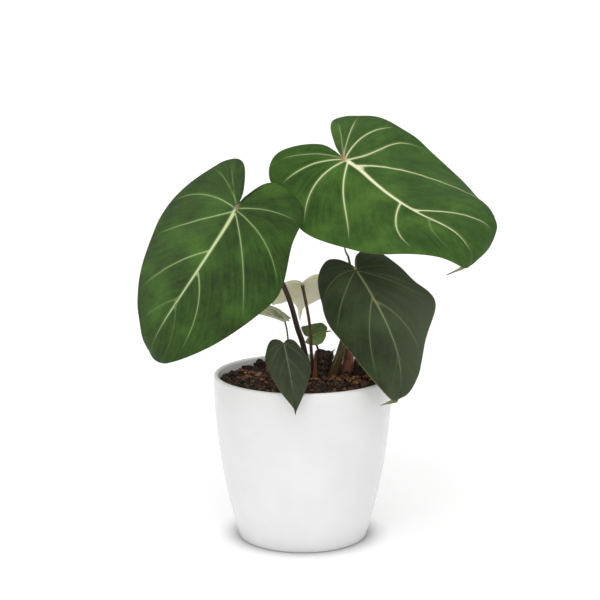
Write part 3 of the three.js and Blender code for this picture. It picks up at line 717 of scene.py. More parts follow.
def make_blade(name, materials, fine):
    leaf = Leaf(name)
    spine_steps, rows, density = (110, 52, 150) if fine else (60, 26, 80)
    middle, faces, rim, ribs, attributes = blade_surface(leaf, VEIN_WIDTHS[name], spine_steps, rows, density)
    normals = vertex_normals(middle, faces)
    # the blade thins to its margin
    thin = lerp(0.4, 1.0, smooth(0, 3, attributes["edge"]))[:, None]
    half = leaf.thickness / 2 * thin
    points = np.vstack([middle + normals * half, middle - normals * (half + ribs[:, None])])
    count = len(middle)
    lower = [tuple(count + i for i in f[::-1]) for f in faces]
    edge_faces = [(b, a, count + a, count + b) for a, b in zip(rim, rim[1:] + rim[:1])]
    attributes = {key: np.concatenate([value, value]) for key, value in attributes.items()}
    blade = piece(
        f"leaf_{name}", points, faces + lower + edge_faces, materials, f"blade_{name}", attributes,
    )
    under = np.zeros(len(blade.data.polygons), np.int32)
    under[len(faces) : len(faces) + len(lower)] = 1
    blade.data.polygons.foreach_set("material_index", under)
    return leaf


# ---------------------------------------------------------------- leaf materials


def velvet_leaf(
    name, deep, bright, fresh, vein, vein_far, margin, knot, margin_width=0.5, painted_sky_light=0.12, sky="6f8060",
):
    """Living leaf, upper face. Its velvet of fine upright cells swallows the gloss, so that the
    green is deep and even, and only the cream veins stand out crisply. The argument after
    margin_width sets how much painted sky light pales the left half, or below 0 the right half,
    towards the sky tint."""
    material, tree = new_material(name)
    flat = add(tree, "Attribute", attribute_name="flat").outputs["Vector"]
    rib, shown, edge, at_knot = (
        add(tree, "Attribute", attribute_name=key).outputs["Fac"] for key in ("rib", "vein", "edge", "knot")
    )
    # patches of paler tissue, about 30 mm across, and small mottles of 5 mm
    clouds = add(tree, "TexNoise", {"Vector": flat, "Scale": 1 / 30, "Detail": 2})
    mottle = add(tree, "TexNoise", {"Vector": flat, "Scale": 1 / 5, "Detail": 4, "Roughness": 0.65})
    # streaks run with the small veins from the midrib outwards, a dozen between two veins
    lengthwise = add(tree, "Mapping", {"Vector": flat, "Scale": (0.05, 0.05, 12)})
    streaks = add(tree, "TexNoise", {"Vector": lengthwise, "Scale": 1, "Detail": 3, "Roughness": 0.6})
    # the velvet's own grain of 0.1 mm, drawn 1 mm wide so that it shows
    velvet = add(tree, "TexNoise", {"Vector": flat, "Scale": 1, "Detail": 3, "Roughness": 0.7})
    tone = add(tree, "Math", {0: mottle, 1: 0.6, 2: clouds}, operation="MULTIPLY_ADD")
    tone = add(tree, "Math", {0: streaks, 1: 0.8, 2: tone}, operation="MULTIPLY_ADD")
    level = add(tree, "MapRange", {0: tone, 1: 0.92, 2: 1.48})
    green = add(tree, "Mix", {"Factor": level, "A": colour(deep), "B": colour(bright)}, **COLOURS)
    across = add(tree, "SeparateXYZ", {0: flat}).outputs["Y"]
    side = 1 if painted_sky_light > 0 else -1
    green = layered(tree, green, [
        (clouds, 0.5, 0.8, fresh, 0.4),
        (velvet, 0.4, 0.65, deep, 0.36),
        # painted sky light: the half turned to the sky is painted paler, towards the sky tint
        (across, -30 * side, 40 * side, sky, abs(painted_sky_light)),
    ])
    # a vein is cream in its middle and greener at its sides and further out
    ragged = add(tree, "Math", {0: velvet, 1: 0.25, 2: rib}, operation="MULTIPLY_ADD")
    inside = add(tree, "MapRange", {0: ragged, 1: -0.05, 2: 0.4}, **SOFT)
    mask = add(tree, "Math", {0: inside, 1: shown}, operation="MULTIPLY")
    cream = layered(tree, colour(vein_far), [(rib, 0.15, 1.1, vein)])
    beside = add(tree, "MapRange", {0: rib, 1: -1.6, 2: 0, 4: 0.16}, **SOFT)
    glow = add(tree, "Math", {0: beside, 1: shown}, operation="MULTIPLY")
    skin = add(tree, "Mix", {"Factor": glow, "A": green, "B": colour(vein_far)}, **COLOURS)
    skin = add(tree, "Mix", {"Factor": mask, "A": skin, "B": cream}, **COLOURS)
    skin = layered(tree, skin, [(at_knot, 0.1, 0.95, knot, 0.75)])
    # the thin margin is dry and tinted, more in some stretches than in others
    dry = add(tree, "MapRange", {0: clouds, 1: 0.3, 2: 0.6, 3: 0.9, 4: 0.35})
    rim = add(tree, "MapRange", {0: edge, 1: margin_width * 0.5, 2: margin_width * 1.6, 3: 1, 4: 0}, **SOFT)
    rim = add(tree, "Math", {0: rim, 1: dry}, operation="MULTIPLY")
    skin = add(tree, "Mix", {"Factor": rim, "A": skin, "B": colour(margin)}, **COLOURS)
    relief = add(tree, "Bump", {"Height": streaks, "Distance": 0.35 * MM, "Strength": 0.5})
    relief = add(tree, "Bump", {"Height": velvet, "Distance": 0.2 * MM, "Strength": 0.6, "Normal": relief})
    add(tree, "OutputMaterial", {"Surface": add(tree, "BsdfPrincipled", {
        "Base Color": skin,
        "Roughness": add(tree, "MapRange", {0: mask, 3: 0.66, 4: 0.5}),
        "Normal": relief,
        "Sheen Weight": 0.04,
        "Sheen Roughness": 0.4,
        "Sheen Tint": colour("b4d090"),
        "Specular IOR Level": 0.14,
    })})
    return material


def leaf_underside(name, pale, deep, rib_tint, glow=0.0):
    """Living leaf, lower face: matt and paler, with raised ribs and a net of fine veins. A young
    leaf lets the light through."""
    material, tree = new_material(name)
    flat = add(tree, "Attribute", attribute_name="flat").outputs["Vector"]
    rib = add(tree, "Attribute", attribute_name="rib").outputs["Fac"]
    clouds = add(tree, "TexNoise", {"Vector": flat, "Scale": 1 / 14, "Detail": 4})
    lengthwise = add(tree, "Mapping", {"Vector": flat, "Scale": (0.05, 0.05, 10)})
    streaks = add(tree, "TexNoise", {"Vector": lengthwise, "Scale": 1, "Detail": 3, "Roughness": 0.6})
    # the net's meshes are 2.5 mm wide
    net = add(tree, "TexVoronoi", {"Vector": flat, "Scale": 1 / 2.5}, feature="DISTANCE_TO_EDGE")
    lines = add(tree, "MapRange", {0: net, 1: 0, 2: 0.12, 3: 0.22, 4: 0}, **SOFT)
    tone = add(tree, "Math", {0: clouds, 1: streaks})
    skin = layered(tree, colour(deep), [(tone, 0.8, 1.2, pale)])
    skin = add(tree, "Mix", {"Factor": lines, "A": skin, "B": colour(rib_tint)}, **COLOURS)
    skin = layered(tree, skin, [(rib, -0.4, 0.2, rib_tint, 0.7)])
    add(tree, "OutputMaterial", {"Surface": add(tree, "BsdfPrincipled", {
        "Base Color": skin,
        "Roughness": 0.6,
        "Normal": add(tree, "Bump", {"Height": lines, "Distance": 0.2 * MM, "Strength": 0.4}),
        "Subsurface Weight": glow,
        "Subsurface Radius": (1, 1, 1),
        "Subsurface Scale": 2 * MM,
        "Specular IOR Level": 0.25,
    })})
    return material


# ---------------------------------------------------------------- stalks


def striped_stalk(name, ground, stripe, foot, foot_reach, top, top_from):
    """Living stalk: waxy, with fine pale stripes along it. It is browner up to foot_reach mm
    above its foot, and drier and paler from top_from mm on."""
    material, tree = new_material(name)
    wrapped = add(tree, "Attribute", attribute_name="wrapped").outputs["Vector"]
    # stripes 0.6 mm wide and some 30 mm long
    drawn_out = add(tree, "Mapping", {"Vector": wrapped, "Scale": (1 / 0.6, 1 / 0.6, 1 / 30)})
    stripes = add(tree, "TexNoise", {"Vector": drawn_out, "Scale": 1, "Detail": 3, "Roughness": 0.6})
    blotches = add(tree, "TexNoise", {"Vector": wrapped, "Scale": 1 / 8, "Detail": 3})
    along = add(tree, "SeparateXYZ", {0: wrapped}).outputs["Z"]
    skin = layered(tree, colour(ground), [
        (stripes, 0.45, 0.68, stripe),
        (blotches, 0.45, 0.75, foot, 0.4),
        (along, 0, foot_reach, foot, 0, 0.85),
        (along, top_from, top_from + 30, top),
    ])
    add(tree, "OutputMaterial", {"Surface": add(tree, "BsdfPrincipled", {
        "Base Color": skin,
        "Roughness": 0.45,
        "Normal": add(tree, "Bump", {"Height": stripes, "Distance": 0.3 * MM, "Strength": 0.5}),
        "Specular IOR Level": 0.3,
    })})
    return material


def make_stalk(name, leaf, material, slot):
    """A stalk from the rhizome to the blade's underside, a little flat on one side."""
    foot, top = leaf.stalk["radius"]
    end = leaf.place(1, np.array(top * 2), np.array(0.0), np.array(-leaf.thickness * 0.9))
    path = [*leaf.stalk["path"], tuple(end)]
    _, length = stalk_curve(path, 2)
    curve, length = stalk_curve(path, max(24, round(length / 1.2)))

    def radius_at(angle, along):
        plain = lerp(foot, top, np.minimum(1, along / length / SLIMMING))
        flattened = 1 - 0.1 * np.clip(np.cos(angle - 1.2), 0, 1) ** 3
        ridges = 1 + 0.018 * np.cos(9 * angle + 0.05 * along)
        knee = 1 + 0.18 * np.exp(-(((length - along) / 5) ** 2))
        return plain * flattened * ridges * knee

    points, faces, wrapped = tube(curve, length, radius_at, 28)
    piece(f"petiole_{name}", points, faces, material, f"stalk_{name}", {"wrapped": wrapped})


# ---------------------------------------------------------------- pot


def pot_radius(z):
    return POT_RIM_RADIUS - POT_TAPER * (1 - z / POT_HEIGHT) ** 2


def arc(centre_r, centre_z, radius, start, end, steps):
    angles = np.radians(np.linspace(start, end, steps + 1))
    return [(centre_r + radius * cos(a), centre_z + radius * sin(a)) for a in angles]


def pot_inside(inset, top):
    """The pot's inside from a height down to the middle of its floor, drawn in by an inset."""
    corner = POT_FLOOR + POT_FLOOR_ROUND
    heights = np.linspace(top, corner + 2, 40)
    return [
        *[(pot_radius(z) - POT_WALL - inset, z) for z in heights],
        *arc(pot_radius(corner) - POT_WALL - POT_FLOOR_ROUND, corner, POT_FLOOR_ROUND - inset, 0, -90, 8),
        (0, POT_FLOOR + inset),
    ]


def turned(rings, sectors):
    """Points and faces of rings of points, each around the axis, between two points on it."""
    points = [p for ring in rings for p in ring]
    last, faces = len(points) - 1, []
    for k in range(sectors):
        n = (k + 1) % sectors
        faces.append((0, 1 + k, 1 + n))
        for j in range(len(rings) - 3):
            a, b = 1 + j * sectors + k, 1 + j * sectors + n
            faces.append((a, a + sectors, b + sectors, b))
        faces.append((last, last - sectors + n, last - sectors + k))
    return points, faces


def circle(radius, z, sectors):
    angles = [tau * k / sectors for k in range(sectors)]
    return [(radius * cos(a), radius * sin(a), z) for a in angles]


def make_pot(material):
    sectors = 192
    lip = POT_WALL / 2
    plain_top = POT_HEIGHT - 4  # where the plain wall ends, below the lip
    profile = [
        (0, 0),
        (pot_radius(0) - 6, 0),
        *arc(pot_radius(POT_FOOT_ROUND) - POT_FOOT_ROUND, POT_FOOT_ROUND, POT_FOOT_ROUND, -90, 0, 6),
        *[(pot_radius(z), z) for z in np.linspace(POT_FOOT_ROUND + 1, plain_top, 44)],
        *arc(pot_radius(POT_HEIGHT) - lip, POT_HEIGHT - lip, lip, 0, 180, 14),
        *pot_inside(0, plain_top),
    ]
    rings = [[(0, 0, 0)], *[circle(r, z, sectors) for r, z in profile[1:-1]], [(0, 0, profile[-1][1])]]
    points, faces = turned(rings, sectors)
    piece("round_pot", points, [f[::-1] for f in faces], material, "pot", smooth_angle=50)


def pot_plastic():
    """Glossy white polypropylene, moulded: clean and even, with a broad soft shine and the faint
    unevenness that moulding leaves."""
    material, tree = new_material("moulded glossy white plastic")
    place = add(tree, "TexCoord").outputs["Object"]
    # the moulding's swells are 40 mm across, and its fine grain is 1 mm
    swirl = add(tree, "TexNoise", {"Vector": place, "Scale": 1 / (40 * MM), "Detail": 2})
    fine = add(tree, "TexNoise", {"Vector": place, "Scale": 1 / (1 * MM), "Detail": 2})
    relief = add(tree, "Bump", {"Height": swirl, "Distance": 0.12 * MM, "Strength": 0.6})
    add(tree, "OutputMaterial", {"Surface": add(tree, "BsdfPrincipled", {
        "Base Color": layered(tree, colour("e6e6e6"), [(swirl, 0.3, 0.7, "ebebeb")]),
        "Roughness": add(tree, "MapRange", {0: swirl, 1: 0.2, 2: 0.8, 3: 0.2, 4: 0.28}),
        "Normal": add(tree, "Bump", {
            "Height": fine, "Distance": 0.01 * MM, "Strength": 0.5, "Normal": relief,
        }),
        "IOR": 1.49,
        "Subsurface Weight": 0.8,
        "Subsurface Radius": (1, 1, 1),
        "Subsurface Scale": 6 * MM,
    })})
    return material


# ---------------------------------------------------------------- soil


def lumps(x, y):
    bend_x = 1.3 * np.sin(0.37 * y)
    bend_y = 1.7 * np.sin(0.29 * x)
    coarse = np.sin(0.61 * x + bend_x) * np.sin(0.55 * y + bend_y)
    fine = np.sin(1.31 * x + 0.9 * y) * np.sin(1.17 * y - 0.7 * x)
    return 0.7 * coarse + 0.3 * fine


def soil_height(x, y):
    mound_x, mound_y, height, spread = SOIL_MOUND
    away = (x - mound_x) ** 2 + (y - mound_y) ** 2
    return SOIL_LEVEL + height * np.exp(-away / (2 * spread**2)) + SOIL_LUMPS * lumps(x, y)


def crumble(x, y, scales):
    """Rough ground from octaves of noise: scales holds (size in mm, height in mm)."""
    total = np.zeros_like(x)
    for size, height in scales:
        total += height * np.array([noise.noise(Vector((a / size, b / size, 7.3))) for a, b in zip(x, y)])
    return total


def make_soil(material):
    rings, sectors = 120, 300
    sides = pot_inside(GAP, SOIL_LEVEL - 2 * SOIL_LUMPS)
    angle = np.linspace(0, tau, sectors, endpoint=False)
    found = [[(0, 0, float(soil_height(0, 0)))]]
    for j in range(1, rings + 1):
        radius = sides[0][0] * j / rings
        x, y = radius * np.cos(angle), radius * np.sin(angle)
        z = soil_height(x, y) + crumble(x, y, [(6, 1.1), (2.5, 0.9), (1.1, 0.5)])
        found.append(list(zip(x, y, z)))
    found += [circle(r, z, sectors) for r, z in sides[:-1:6]]
    found.append([(0, 0, sides[-1][1])])
    points, faces = turned(found, sectors)
    piece("soil_bed", points, faces, material, "soil")


def peat():
    """Moist peat and composted bark: almost black in the hollows, brown where it has dried, and
    quite matt."""
    material, tree = new_material("moist peat")
    place = add(tree, "TexCoord").outputs["Object"]
    # damp patches of 14 mm, crumbs of 4 mm and grit of 0.8 mm
    damp = add(tree, "TexNoise", {"Vector": place, "Scale": 1 / (14 * MM), "Detail": 3})
    coarse = add(tree, "TexNoise", {"Vector": place, "Scale": 1 / (4 * MM), "Detail": 5, "Roughness": 0.7})
    fine = add(tree, "TexNoise", {"Vector": place, "Scale": 1 / (0.8 * MM), "Detail": 4, "Roughness": 0.7})
    skin = layered(tree, colour("1e1817"), [
        (coarse, 0.35, 0.65, "3c2e2b"),
        (damp, 0.5, 0.7, "5c4a3f", 0.6),
        (fine, 0.58, 0.75, "86705e", 0.6),
    ])
    relief = add(tree, "Bump", {"Height": coarse, "Distance": 0.8 * MM, "Strength": 0.8})
    add(tree, "OutputMaterial", {"Surface": add(tree, "BsdfPrincipled", {
        "Base Color": skin,
        "Roughness": add(tree, "MapRange", {0: coarse, 1: 0.3, 2: 0.7, 3: 0.7, 4: 0.95}),
        "Normal": add(tree, "Bump", {
            "Height": fine, "Distance": 0.4 * MM, "Strength": 0.8, "Normal": relief,
        }),
        "Specular IOR Level": 0.2,
    })})
    return material


def loose_bits(name, dark, mid, light, fleck_size):
    """Loose bits of soil, each its own shade between dark and light, dull and finely flecked."""
    material, tree = new_material(name)
    place = add(tree, "TexCoord").outputs["Object"]
    shade = add(tree, "Attribute", attribute_name="shade").outputs["Fac"]
    fleck = add(tree, "TexNoise", {
        "Vector": place, "Scale": 1 / (fleck_size * MM), "Detail": 4, "Roughness": 0.65,
    })
    skin = layered(tree, colour(dark), [
        (shade, 0, 0.7, mid),
        (shade, 0.75, 1, light),
        (fleck, 0.4, 0.7, dark, 0.55),
    ])
    add(tree, "OutputMaterial", {"Surface": add(tree, "BsdfPrincipled", {
        "Base Color": skin,
        "Roughness": 0.85,
        "Normal": add(tree, "Bump", {"Height": fleck, "Distance": 0.3 * MM, "Strength": 0.7}),
        "Specular IOR Level": 0.2,
    })})
    return material


def clod_shape(name, stretch, seed, roughness=0.35):
    """A rough lump of 40 faces about 1 mm across, as a shape to strew."""
    rough = bmesh.new()
    bmesh.ops.create_uvsphere(rough, u_segments=8, v_segments=5, radius=0.5 * MM)
    for v in rough.verts:
        spot = v.co / MM
        push = 1 + roughness * noise.noise(spot * 2.2 + Vector((seed, 0, 0)))
        v.co = Vector((spot.x * stretch[0], spot.y * stretch[1], spot.z * stretch[2])) * push * MM
    mesh = bpy.data.meshes.new(name)
    rough.to_mesh(mesh)
    rough.free()
    return bpy.data.objects.new(name, mesh)


def strewing():
    """Geometry nodes that strew a shape over the ground, each copy turned, sized and shaded."""
    group = bpy.data.node_groups.new("strewing", "GeometryNodeTree")
    sockets = {
        "Ground": "Geometry", "Shape": "Object", "Density": "Float", "Smallest": "Float",
        "Largest": "Float", "Tilt": "Float", "Seed": "Int", "Material": "Material",
    }
    for label, kind in sockets.items():
        group.interface.new_socket(label, in_out="INPUT", socket_type="NodeSocket" + kind)
    group.interface.new_socket("Strewn", in_out="OUTPUT", socket_type="NodeSocketGeometry")
    given = add(group, "NodeGroupInput").outputs
    spread = add(group, "GeometryNodeDistributePointsOnFaces", {
        "Mesh": given["Ground"], "Density": given["Density"], "Seed": given["Seed"],
    })
    shade = add(group, "FunctionNodeRandomValue", {"Seed": given["Seed"]}, data_type="FLOAT")
    shaded = add(group, "GeometryNodeStoreNamedAttribute", {
        "Geometry": spread, "Name": "shade", "Value": shade,
    }, data_type="FLOAT", domain="POINT")
    size = add(group, "FunctionNodeRandomValue", {
        "Min": given["Smallest"], "Max": given["Largest"], "Seed": given["Seed"],
    }, data_type="FLOAT")
    other_way = add(group, "Math", {0: given["Tilt"], 1: -1}, operation="MULTIPLY")
    turn = add(group, "FunctionNodeRandomValue", {
        "Min": add(group, "CombineXYZ", {0: other_way, 1: other_way}),
        "Max": add(group, "CombineXYZ", {0: given["Tilt"], 1: given["Tilt"], 2: tau}),
        "Seed": given["Seed"],
    }, data_type="FLOAT_VECTOR")
    copies = add(group, "GeometryNodeInstanceOnPoints", {
        "Points": shaded,
        "Instance": add(group, "GeometryNodeObjectInfo", {"Object": given["Shape"]}).outputs["Geometry"],
        "Rotation": turn,
        "Scale": size,
    })
    painted = add(group, "GeometryNodeSetMaterial", {
        "Geometry": add(group, "GeometryNodeRealizeInstances", {0: copies}), "Material": given["Material"],
    })
    add(group, "NodeGroupOutput", {0: painted})
    return group


def ground(radius, clear):
    """The soil's surface as a plain sheet to strew on, without what lies within clear spots."""
    step = 2.0
    count = int(2 * radius / step) + 1
    points, faces, grid = [], [], {}
    for i in range(count):
        for j in range(count):
            x, y = -radius + i * step, -radius + j * step
            near = any((x - a) ** 2 + (y - b) ** 2 < c * c for a, b, c in clear)
            if x**2 + y**2 < radius**2 and not near:
                grid[i, j] = len(points)
                points.append((x, y, float(soil_height(x, y))))
    for (i, j), a in grid.items():
        corners = [a, grid.get((i + 1, j)), grid.get((i + 1, j + 1)), grid.get((i, j + 1))]
        if None not in corners:
            faces.append(corners)
    mesh = bpy.data.meshes.new("ground")
    mesh.from_pydata((np.array(points) * MM).tolist(), [], faces)
    return mesh


def strew(group, name, sheet, shape, material, per_cm2, smallest, largest, tilt, seed):
    """Bits of soil strewn over the ground: how many to a square cm, and their sizes in mm."""
    made = put(name, sheet.copy())
    nodes = made.modifiers.new("strew", "NODES")
    nodes.node_group = group
    identifier = {item.name: item.identifier for item in group.interface.items_tree if item.in_out == "INPUT"}
    values = {
        "Shape": shape, "Density": per_cm2 * 1e4, "Smallest": smallest, "Largest": largest,
        "Tilt": tilt, "Seed": seed, "Material": material,
    }
    for label, value in values.items():
        nodes[identifier[label]] = value
    bpy.context.view_layer.update()
    evaluated = made.evaluated_get(bpy.context.evaluated_depsgraph_get())
    made.data = bpy.data.meshes.new_from_object(evaluated)
    made.modifiers.clear()
    made.data.shade_smooth()
    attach(made, "root")


# lumps of peat that stand out of the soil, and pale scraps of bark at the stalks' feet:
# x, y, how far above the surface its middle is, and its length, width and height
PEAT_CLODS = [
    (-33, 47, 1, 15, 12, 11), (-43, 36, 0, 12, 10, 6), (-22, 54, 0, 13, 9, 8), (-54, 12, 0, 11, 9, 6),
    (-47, -10, -1, 12, 9, 6), (20, -33, -1, 15, 10, 6), (44, 30, 0, 13, 10, 7), (54, 8, 0, 10, 9, 6),
    (2, -44, -1, 14, 9, 5), (33, -28, 0, 9, 8, 6), (10, 45, 0, 12, 10, 7), (-15, -36, 0, 10, 8, 6),
    (35, -1, 2, 10, 7, 8), (44, 2, 3, 12, 8, 9),
]
BARK_SCRAPS = [
    (17, -5, 1, 6, 4, 3), (24, -4, 2, 7, 4, 4), (21, 1, 1, 5, 3, 3), (30, -5, 1, 5, 4, 3),
    (33, -8, 2, 6, 5, 4), (39, -5, 2, 7, 5, 4), (42, -9, 2, 7, 5, 4), (36, -13, 1, 7, 5, 4),
    (44, -13, 1, 8, 5, 4), (49, -4, 2, 7, 5, 4), (51, 3, 3, 8, 5, 4), (47, 9, 4, 6, 4, 4),
    (54, -8, 1, 7, 4, 3), (30, -22, 0, 6, 4, 3), (47, -20, 1, 8, 5, 3), (38, -28, 0, 6, 5, 3),
    (41, -17, 1, 5, 4, 3), (25, -12, 0, 5, 4, 3), (-45, 8, 0, 8, 5, 3), (-35, 25, 0, 8, 5, 3),
    (-50, 28, 1, 8, 4, 3), (-40, 40, 1, 8, 5, 3), (-30, 5, 0, 7, 4, 3), (-28, 36, 1, 7, 4, 4),
    (-53, 20, 0, 6, 4, 3), (-22, 20, 0, 7, 5, 3), (-44, 20, 0, 7, 4, 3),
]


def lay(name, spots, material, lightest, seed):
    """Rough lumps laid on the soil one by one, each with a shade of its own. The shades grow with
    lightest."""
    rough = bmesh.new()
    shade = rough.verts.layers.float.new("shade")
    for k, (x, y, above, *size) in enumerate(spots):
        turn = Euler((0.3 * sin(k * 2.1 + seed), 0.3 * cos(k * 1.7), k * 1.3 + seed)).to_matrix()
        middle = Vector((x, y, float(soil_height(x, y)) + above))
        for v in bmesh.ops.create_icosphere(rough, subdivisions=4, radius=0.5)["verts"]:
            spot = v.co.copy()
            push = 1 + 0.55 * noise.noise(spot * 2.4 + Vector((k, seed, 0)))
            push += 0.22 * noise.noise(spot * 7 + Vector((seed, k, 3))) + 0.1 * noise.noise(spot * 16)
            v.co = (middle + turn @ Vector([c * s * push for c, s in zip(spot, size)])) * MM
            patch = noise.noise(spot * 4 + Vector((seed, seed, k)))
            v[shade] = lightest * (0.3 + 0.45 * (0.37 * k % 1) + 0.8 * patch)
    mesh = bpy.data.meshes.new(name)
    rough.to_mesh(mesh)
    rough.free()
    mesh.shade_smooth()
    mesh.materials.append(material)
    made = put(name, mesh)
    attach(made, "root")


def dress_soil():
    group = strewing()
    stems = [(22, 5, 5), (41, 16, 4)]  # x, y and radius of the spots kept clear
    wide, inner = ground(63, stems), ground(54, stems)
    dark = loose_bits("crumbled peat", "1e1716", "402f29", "735a49", 0.8)
    bark = loose_bits("pine bark chips", "35241c", "6e4e3c", "ad8562", 1.5)
    fibre = loose_bits("coir fibres", "3e2d22", "75593f", "b3936e", 0.6)
    pale = loose_bits("pale bark scraps", "2e201b", "8a6045", "d2a078", 1.2)
    crumb = clod_shape("crumb", (1, 0.9, 0.8), 1.0)
    chip = clod_shape("chip", (1, 0.55, 0.28), 4.0, roughness=0.5)
    thread = clod_shape("thread", (1, 0.05, 0.05), 9.0, roughness=0.1)
    # how many to a square cm, smallest and largest in mm, tilt in radians, seed
    strew(group, "peat_crumbs_fine", wide, crumb, dark, 20, 0.8, 2, 1.5, 11)
    strew(group, "peat_crumbs_coarse", wide, crumb, dark, 4, 2, 4, 1.5, 12)
    strew(group, "bark_chips_small", wide, chip, bark, 5, 2, 5, 0.6, 13)
    strew(group, "bark_chips_large", inner, chip, bark, 0.6, 5, 9, 0.45, 14)
    strew(group, "coir_fibres", wide, thread, fibre, 3, 5, 12, 0.35, 15)
    lay("peat_clods", PEAT_CLODS, dark, 0.7, 2)
    lay("bark_scraps", BARK_SCRAPS, pale, 1, 5)
    for shape in (crumb, chip, thread):
        bpy.data.objects.remove(shape)


# ---------------------------------------------------------------- rhizome and sheaths


def fibrous_bark():
    """The rhizome's corky skin: nearly black, scaly and dull, with brown threads left by rotted
    leaf bases."""
    material, tree = new_material("corky rhizome skin")
    wrapped = add(tree, "Attribute", attribute_name="wrapped").outputs["Vector"]
    # threads wander through meshes 3 mm wide and 6 mm long
    stray = add(tree, "TexNoise", {"Vector": wrapped, "Scale": 1 / 4}).outputs["Color"]
    bent = add(tree, "VectorMath", {0: wrapped, 1: stray}, operation="ADD")
    drawn_out = add(tree, "Mapping", {"Vector": bent, "Scale": (1 / 3, 1 / 3, 1 / 6)})
    net = add(tree, "TexVoronoi", {"Vector": drawn_out, "Scale": 1}, feature="DISTANCE_TO_EDGE")
    fleck = add(tree, "TexNoise", {"Vector": wrapped, "Scale": 1 / 1.1, "Detail": 5, "Roughness": 0.7})
    skin = layered(tree, colour("241c1a"), [(fleck, 0.35, 0.7, "54443a")])
    threads = add(tree, "MapRange", {0: net, 1: 0.02, 2: 0.12, 3: 1, 4: 0}, **SOFT)
    broken = add(tree, "MapRange", {0: fleck, 1: 0.42, 2: 0.62, 4: 0.6}, **SOFT)
    drawn = add(tree, "Math", {0: threads, 1: broken}, operation="MULTIPLY")
    skin = add(tree, "Mix", {"Factor": drawn, "A": skin, "B": colour("8a725e")}, **COLOURS)
    relief = add(tree, "Bump", {"Height": fleck, "Distance": 0.4 * MM, "Strength": 0.5})
    add(tree, "OutputMaterial", {"Surface": add(tree, "BsdfPrincipled", {
        "Base Color": skin,
        "Roughness": 0.85,
        "Normal": add(tree, "Bump", {
            "Height": threads, "Distance": 0.4 * MM, "Strength": 0.8, "Normal": relief,
        }),
        "Specular IOR Level": 0.2,
    })})
    return material


def stem(path, radii, sides, ragged):
    """A stem with ring scars and a rough skin, and a top that is torn by up to twice ragged, in mm."""
    _, length = stalk_curve(path, 2)
    curve, length = stalk_curve(path, round(length / 0.5))
    places = np.linspace(0, 1, len(radii))

    def radius_at(angle, along):
        plain = np.interp(along / length, places, radii) + SCAR_DEPTH * np.sin(tau * along / SCAR_SPACING)
        rough = np.array([
            [noise.noise(Vector((3 * cos(a), 3 * sin(a), z / 2.2))) for a in angle.ravel()]
            for z in along.ravel()
        ])
        return plain + 0.3 * rough - 0.2 - 0.3 * smooth(length - 0.8, length, along)

    points, faces, wrapped = tube(curve, length, radius_at, sides)
    torn = np.array([noise.noise(Vector((x / 2.2, y / 2.2, 5))) for x, y, _ in wrapped])
    middle = points[-sides:].mean(axis=0)
    turn = np.arctan2(points[:, 1] - middle[1], points[:, 0] - middle[0])
    points[:, 2] += ragged * (torn + np.cos(2 * turn)) * smooth(length - 3, length, wrapped[:, 2])
    # the old end is closed by a sunken pith
    rim = len(points) - sides
    middle = points[rim:].mean(axis=0)
    faces.pop()
    for share in (0.75, 0.5, 0.25):
        ring = lerp(middle, points[rim : rim + sides], share) - (0, 0, ragged * (1 - share))
        first = len(points)
        around = [(k, (k + 1) % sides) for k in range(sides)]
        faces += [(first - sides + k, first - sides + n, first + n, first + k) for k, n in around]
        points = np.vstack([points, ring])
        wrapped = np.vstack([wrapped, wrapped[rim : rim + sides] * (share, share, 1)])
    faces.append(tuple(range(len(points) - sides, len(points))))
    return points, faces, wrapped


def make_rhizome(material):
    creeping = stem(RHIZOME_PATH, RHIZOME_RADII, sides=48, ragged=0.2)
    upright = stem(OLD_END_PATH, OLD_END_RADII, sides=64, ragged=0.9)
    aside = (40, 0, 0)  # mm that the pattern is moved on the upright stem, so that the two differ
    shift = len(creeping[0])
    points = np.vstack([creeping[0], upright[0]])
    faces = creeping[1] + [tuple(shift + i for i in f) for f in upright[1]]
    wrapped = np.vstack([creeping[2], upright[2] + aside])
    piece("rhizome_stem", points, faces, material, "rhizome", {"wrapped": wrapped})


def make_fibres(material):
    """Stiff fibres around the old end, and one longer spur on its rim."""
    foot, top = np.array(OLD_END_PATH[1]), np.array(OLD_END_PATH[2])
    # degrees around, share of the way up, length in mm, and radius at the foot in mm
    spurs = [(20, 0.98, 4.0, 0.55)]
    spurs += [(23 * k % 360, 0.2 + 0.07 * (k * 7 % 11), 2 + k % 3, 0.25) for k in range(26)]
    points, faces, wrapped = [], [], []
    for degrees, height, reach, thick in spurs:
        out = np.array((cos(radians(degrees)), sin(radians(degrees)), 0))
        base = lerp(foot, top, height) + out * (OLD_END_RADII[2] - 0.8)
        tip = base + out * 0.45 * reach + np.array((0, 0, 0.85 * reach))
        bent = lerp(base, tip, 0.5) + out * 0.25 * reach
        curve, length = stalk_curve([base, bent, tip], 7)
        made = tube(curve, length, lambda angle, along: thick * (1.05 - along / length), 6)
        faces += [tuple(len(points) + i for i in f) for f in made[1]]
        points += list(made[0])
        wrapped += list(made[2])
    piece("rhizome_fibres", points, faces, material, None, {"wrapped": wrapped})


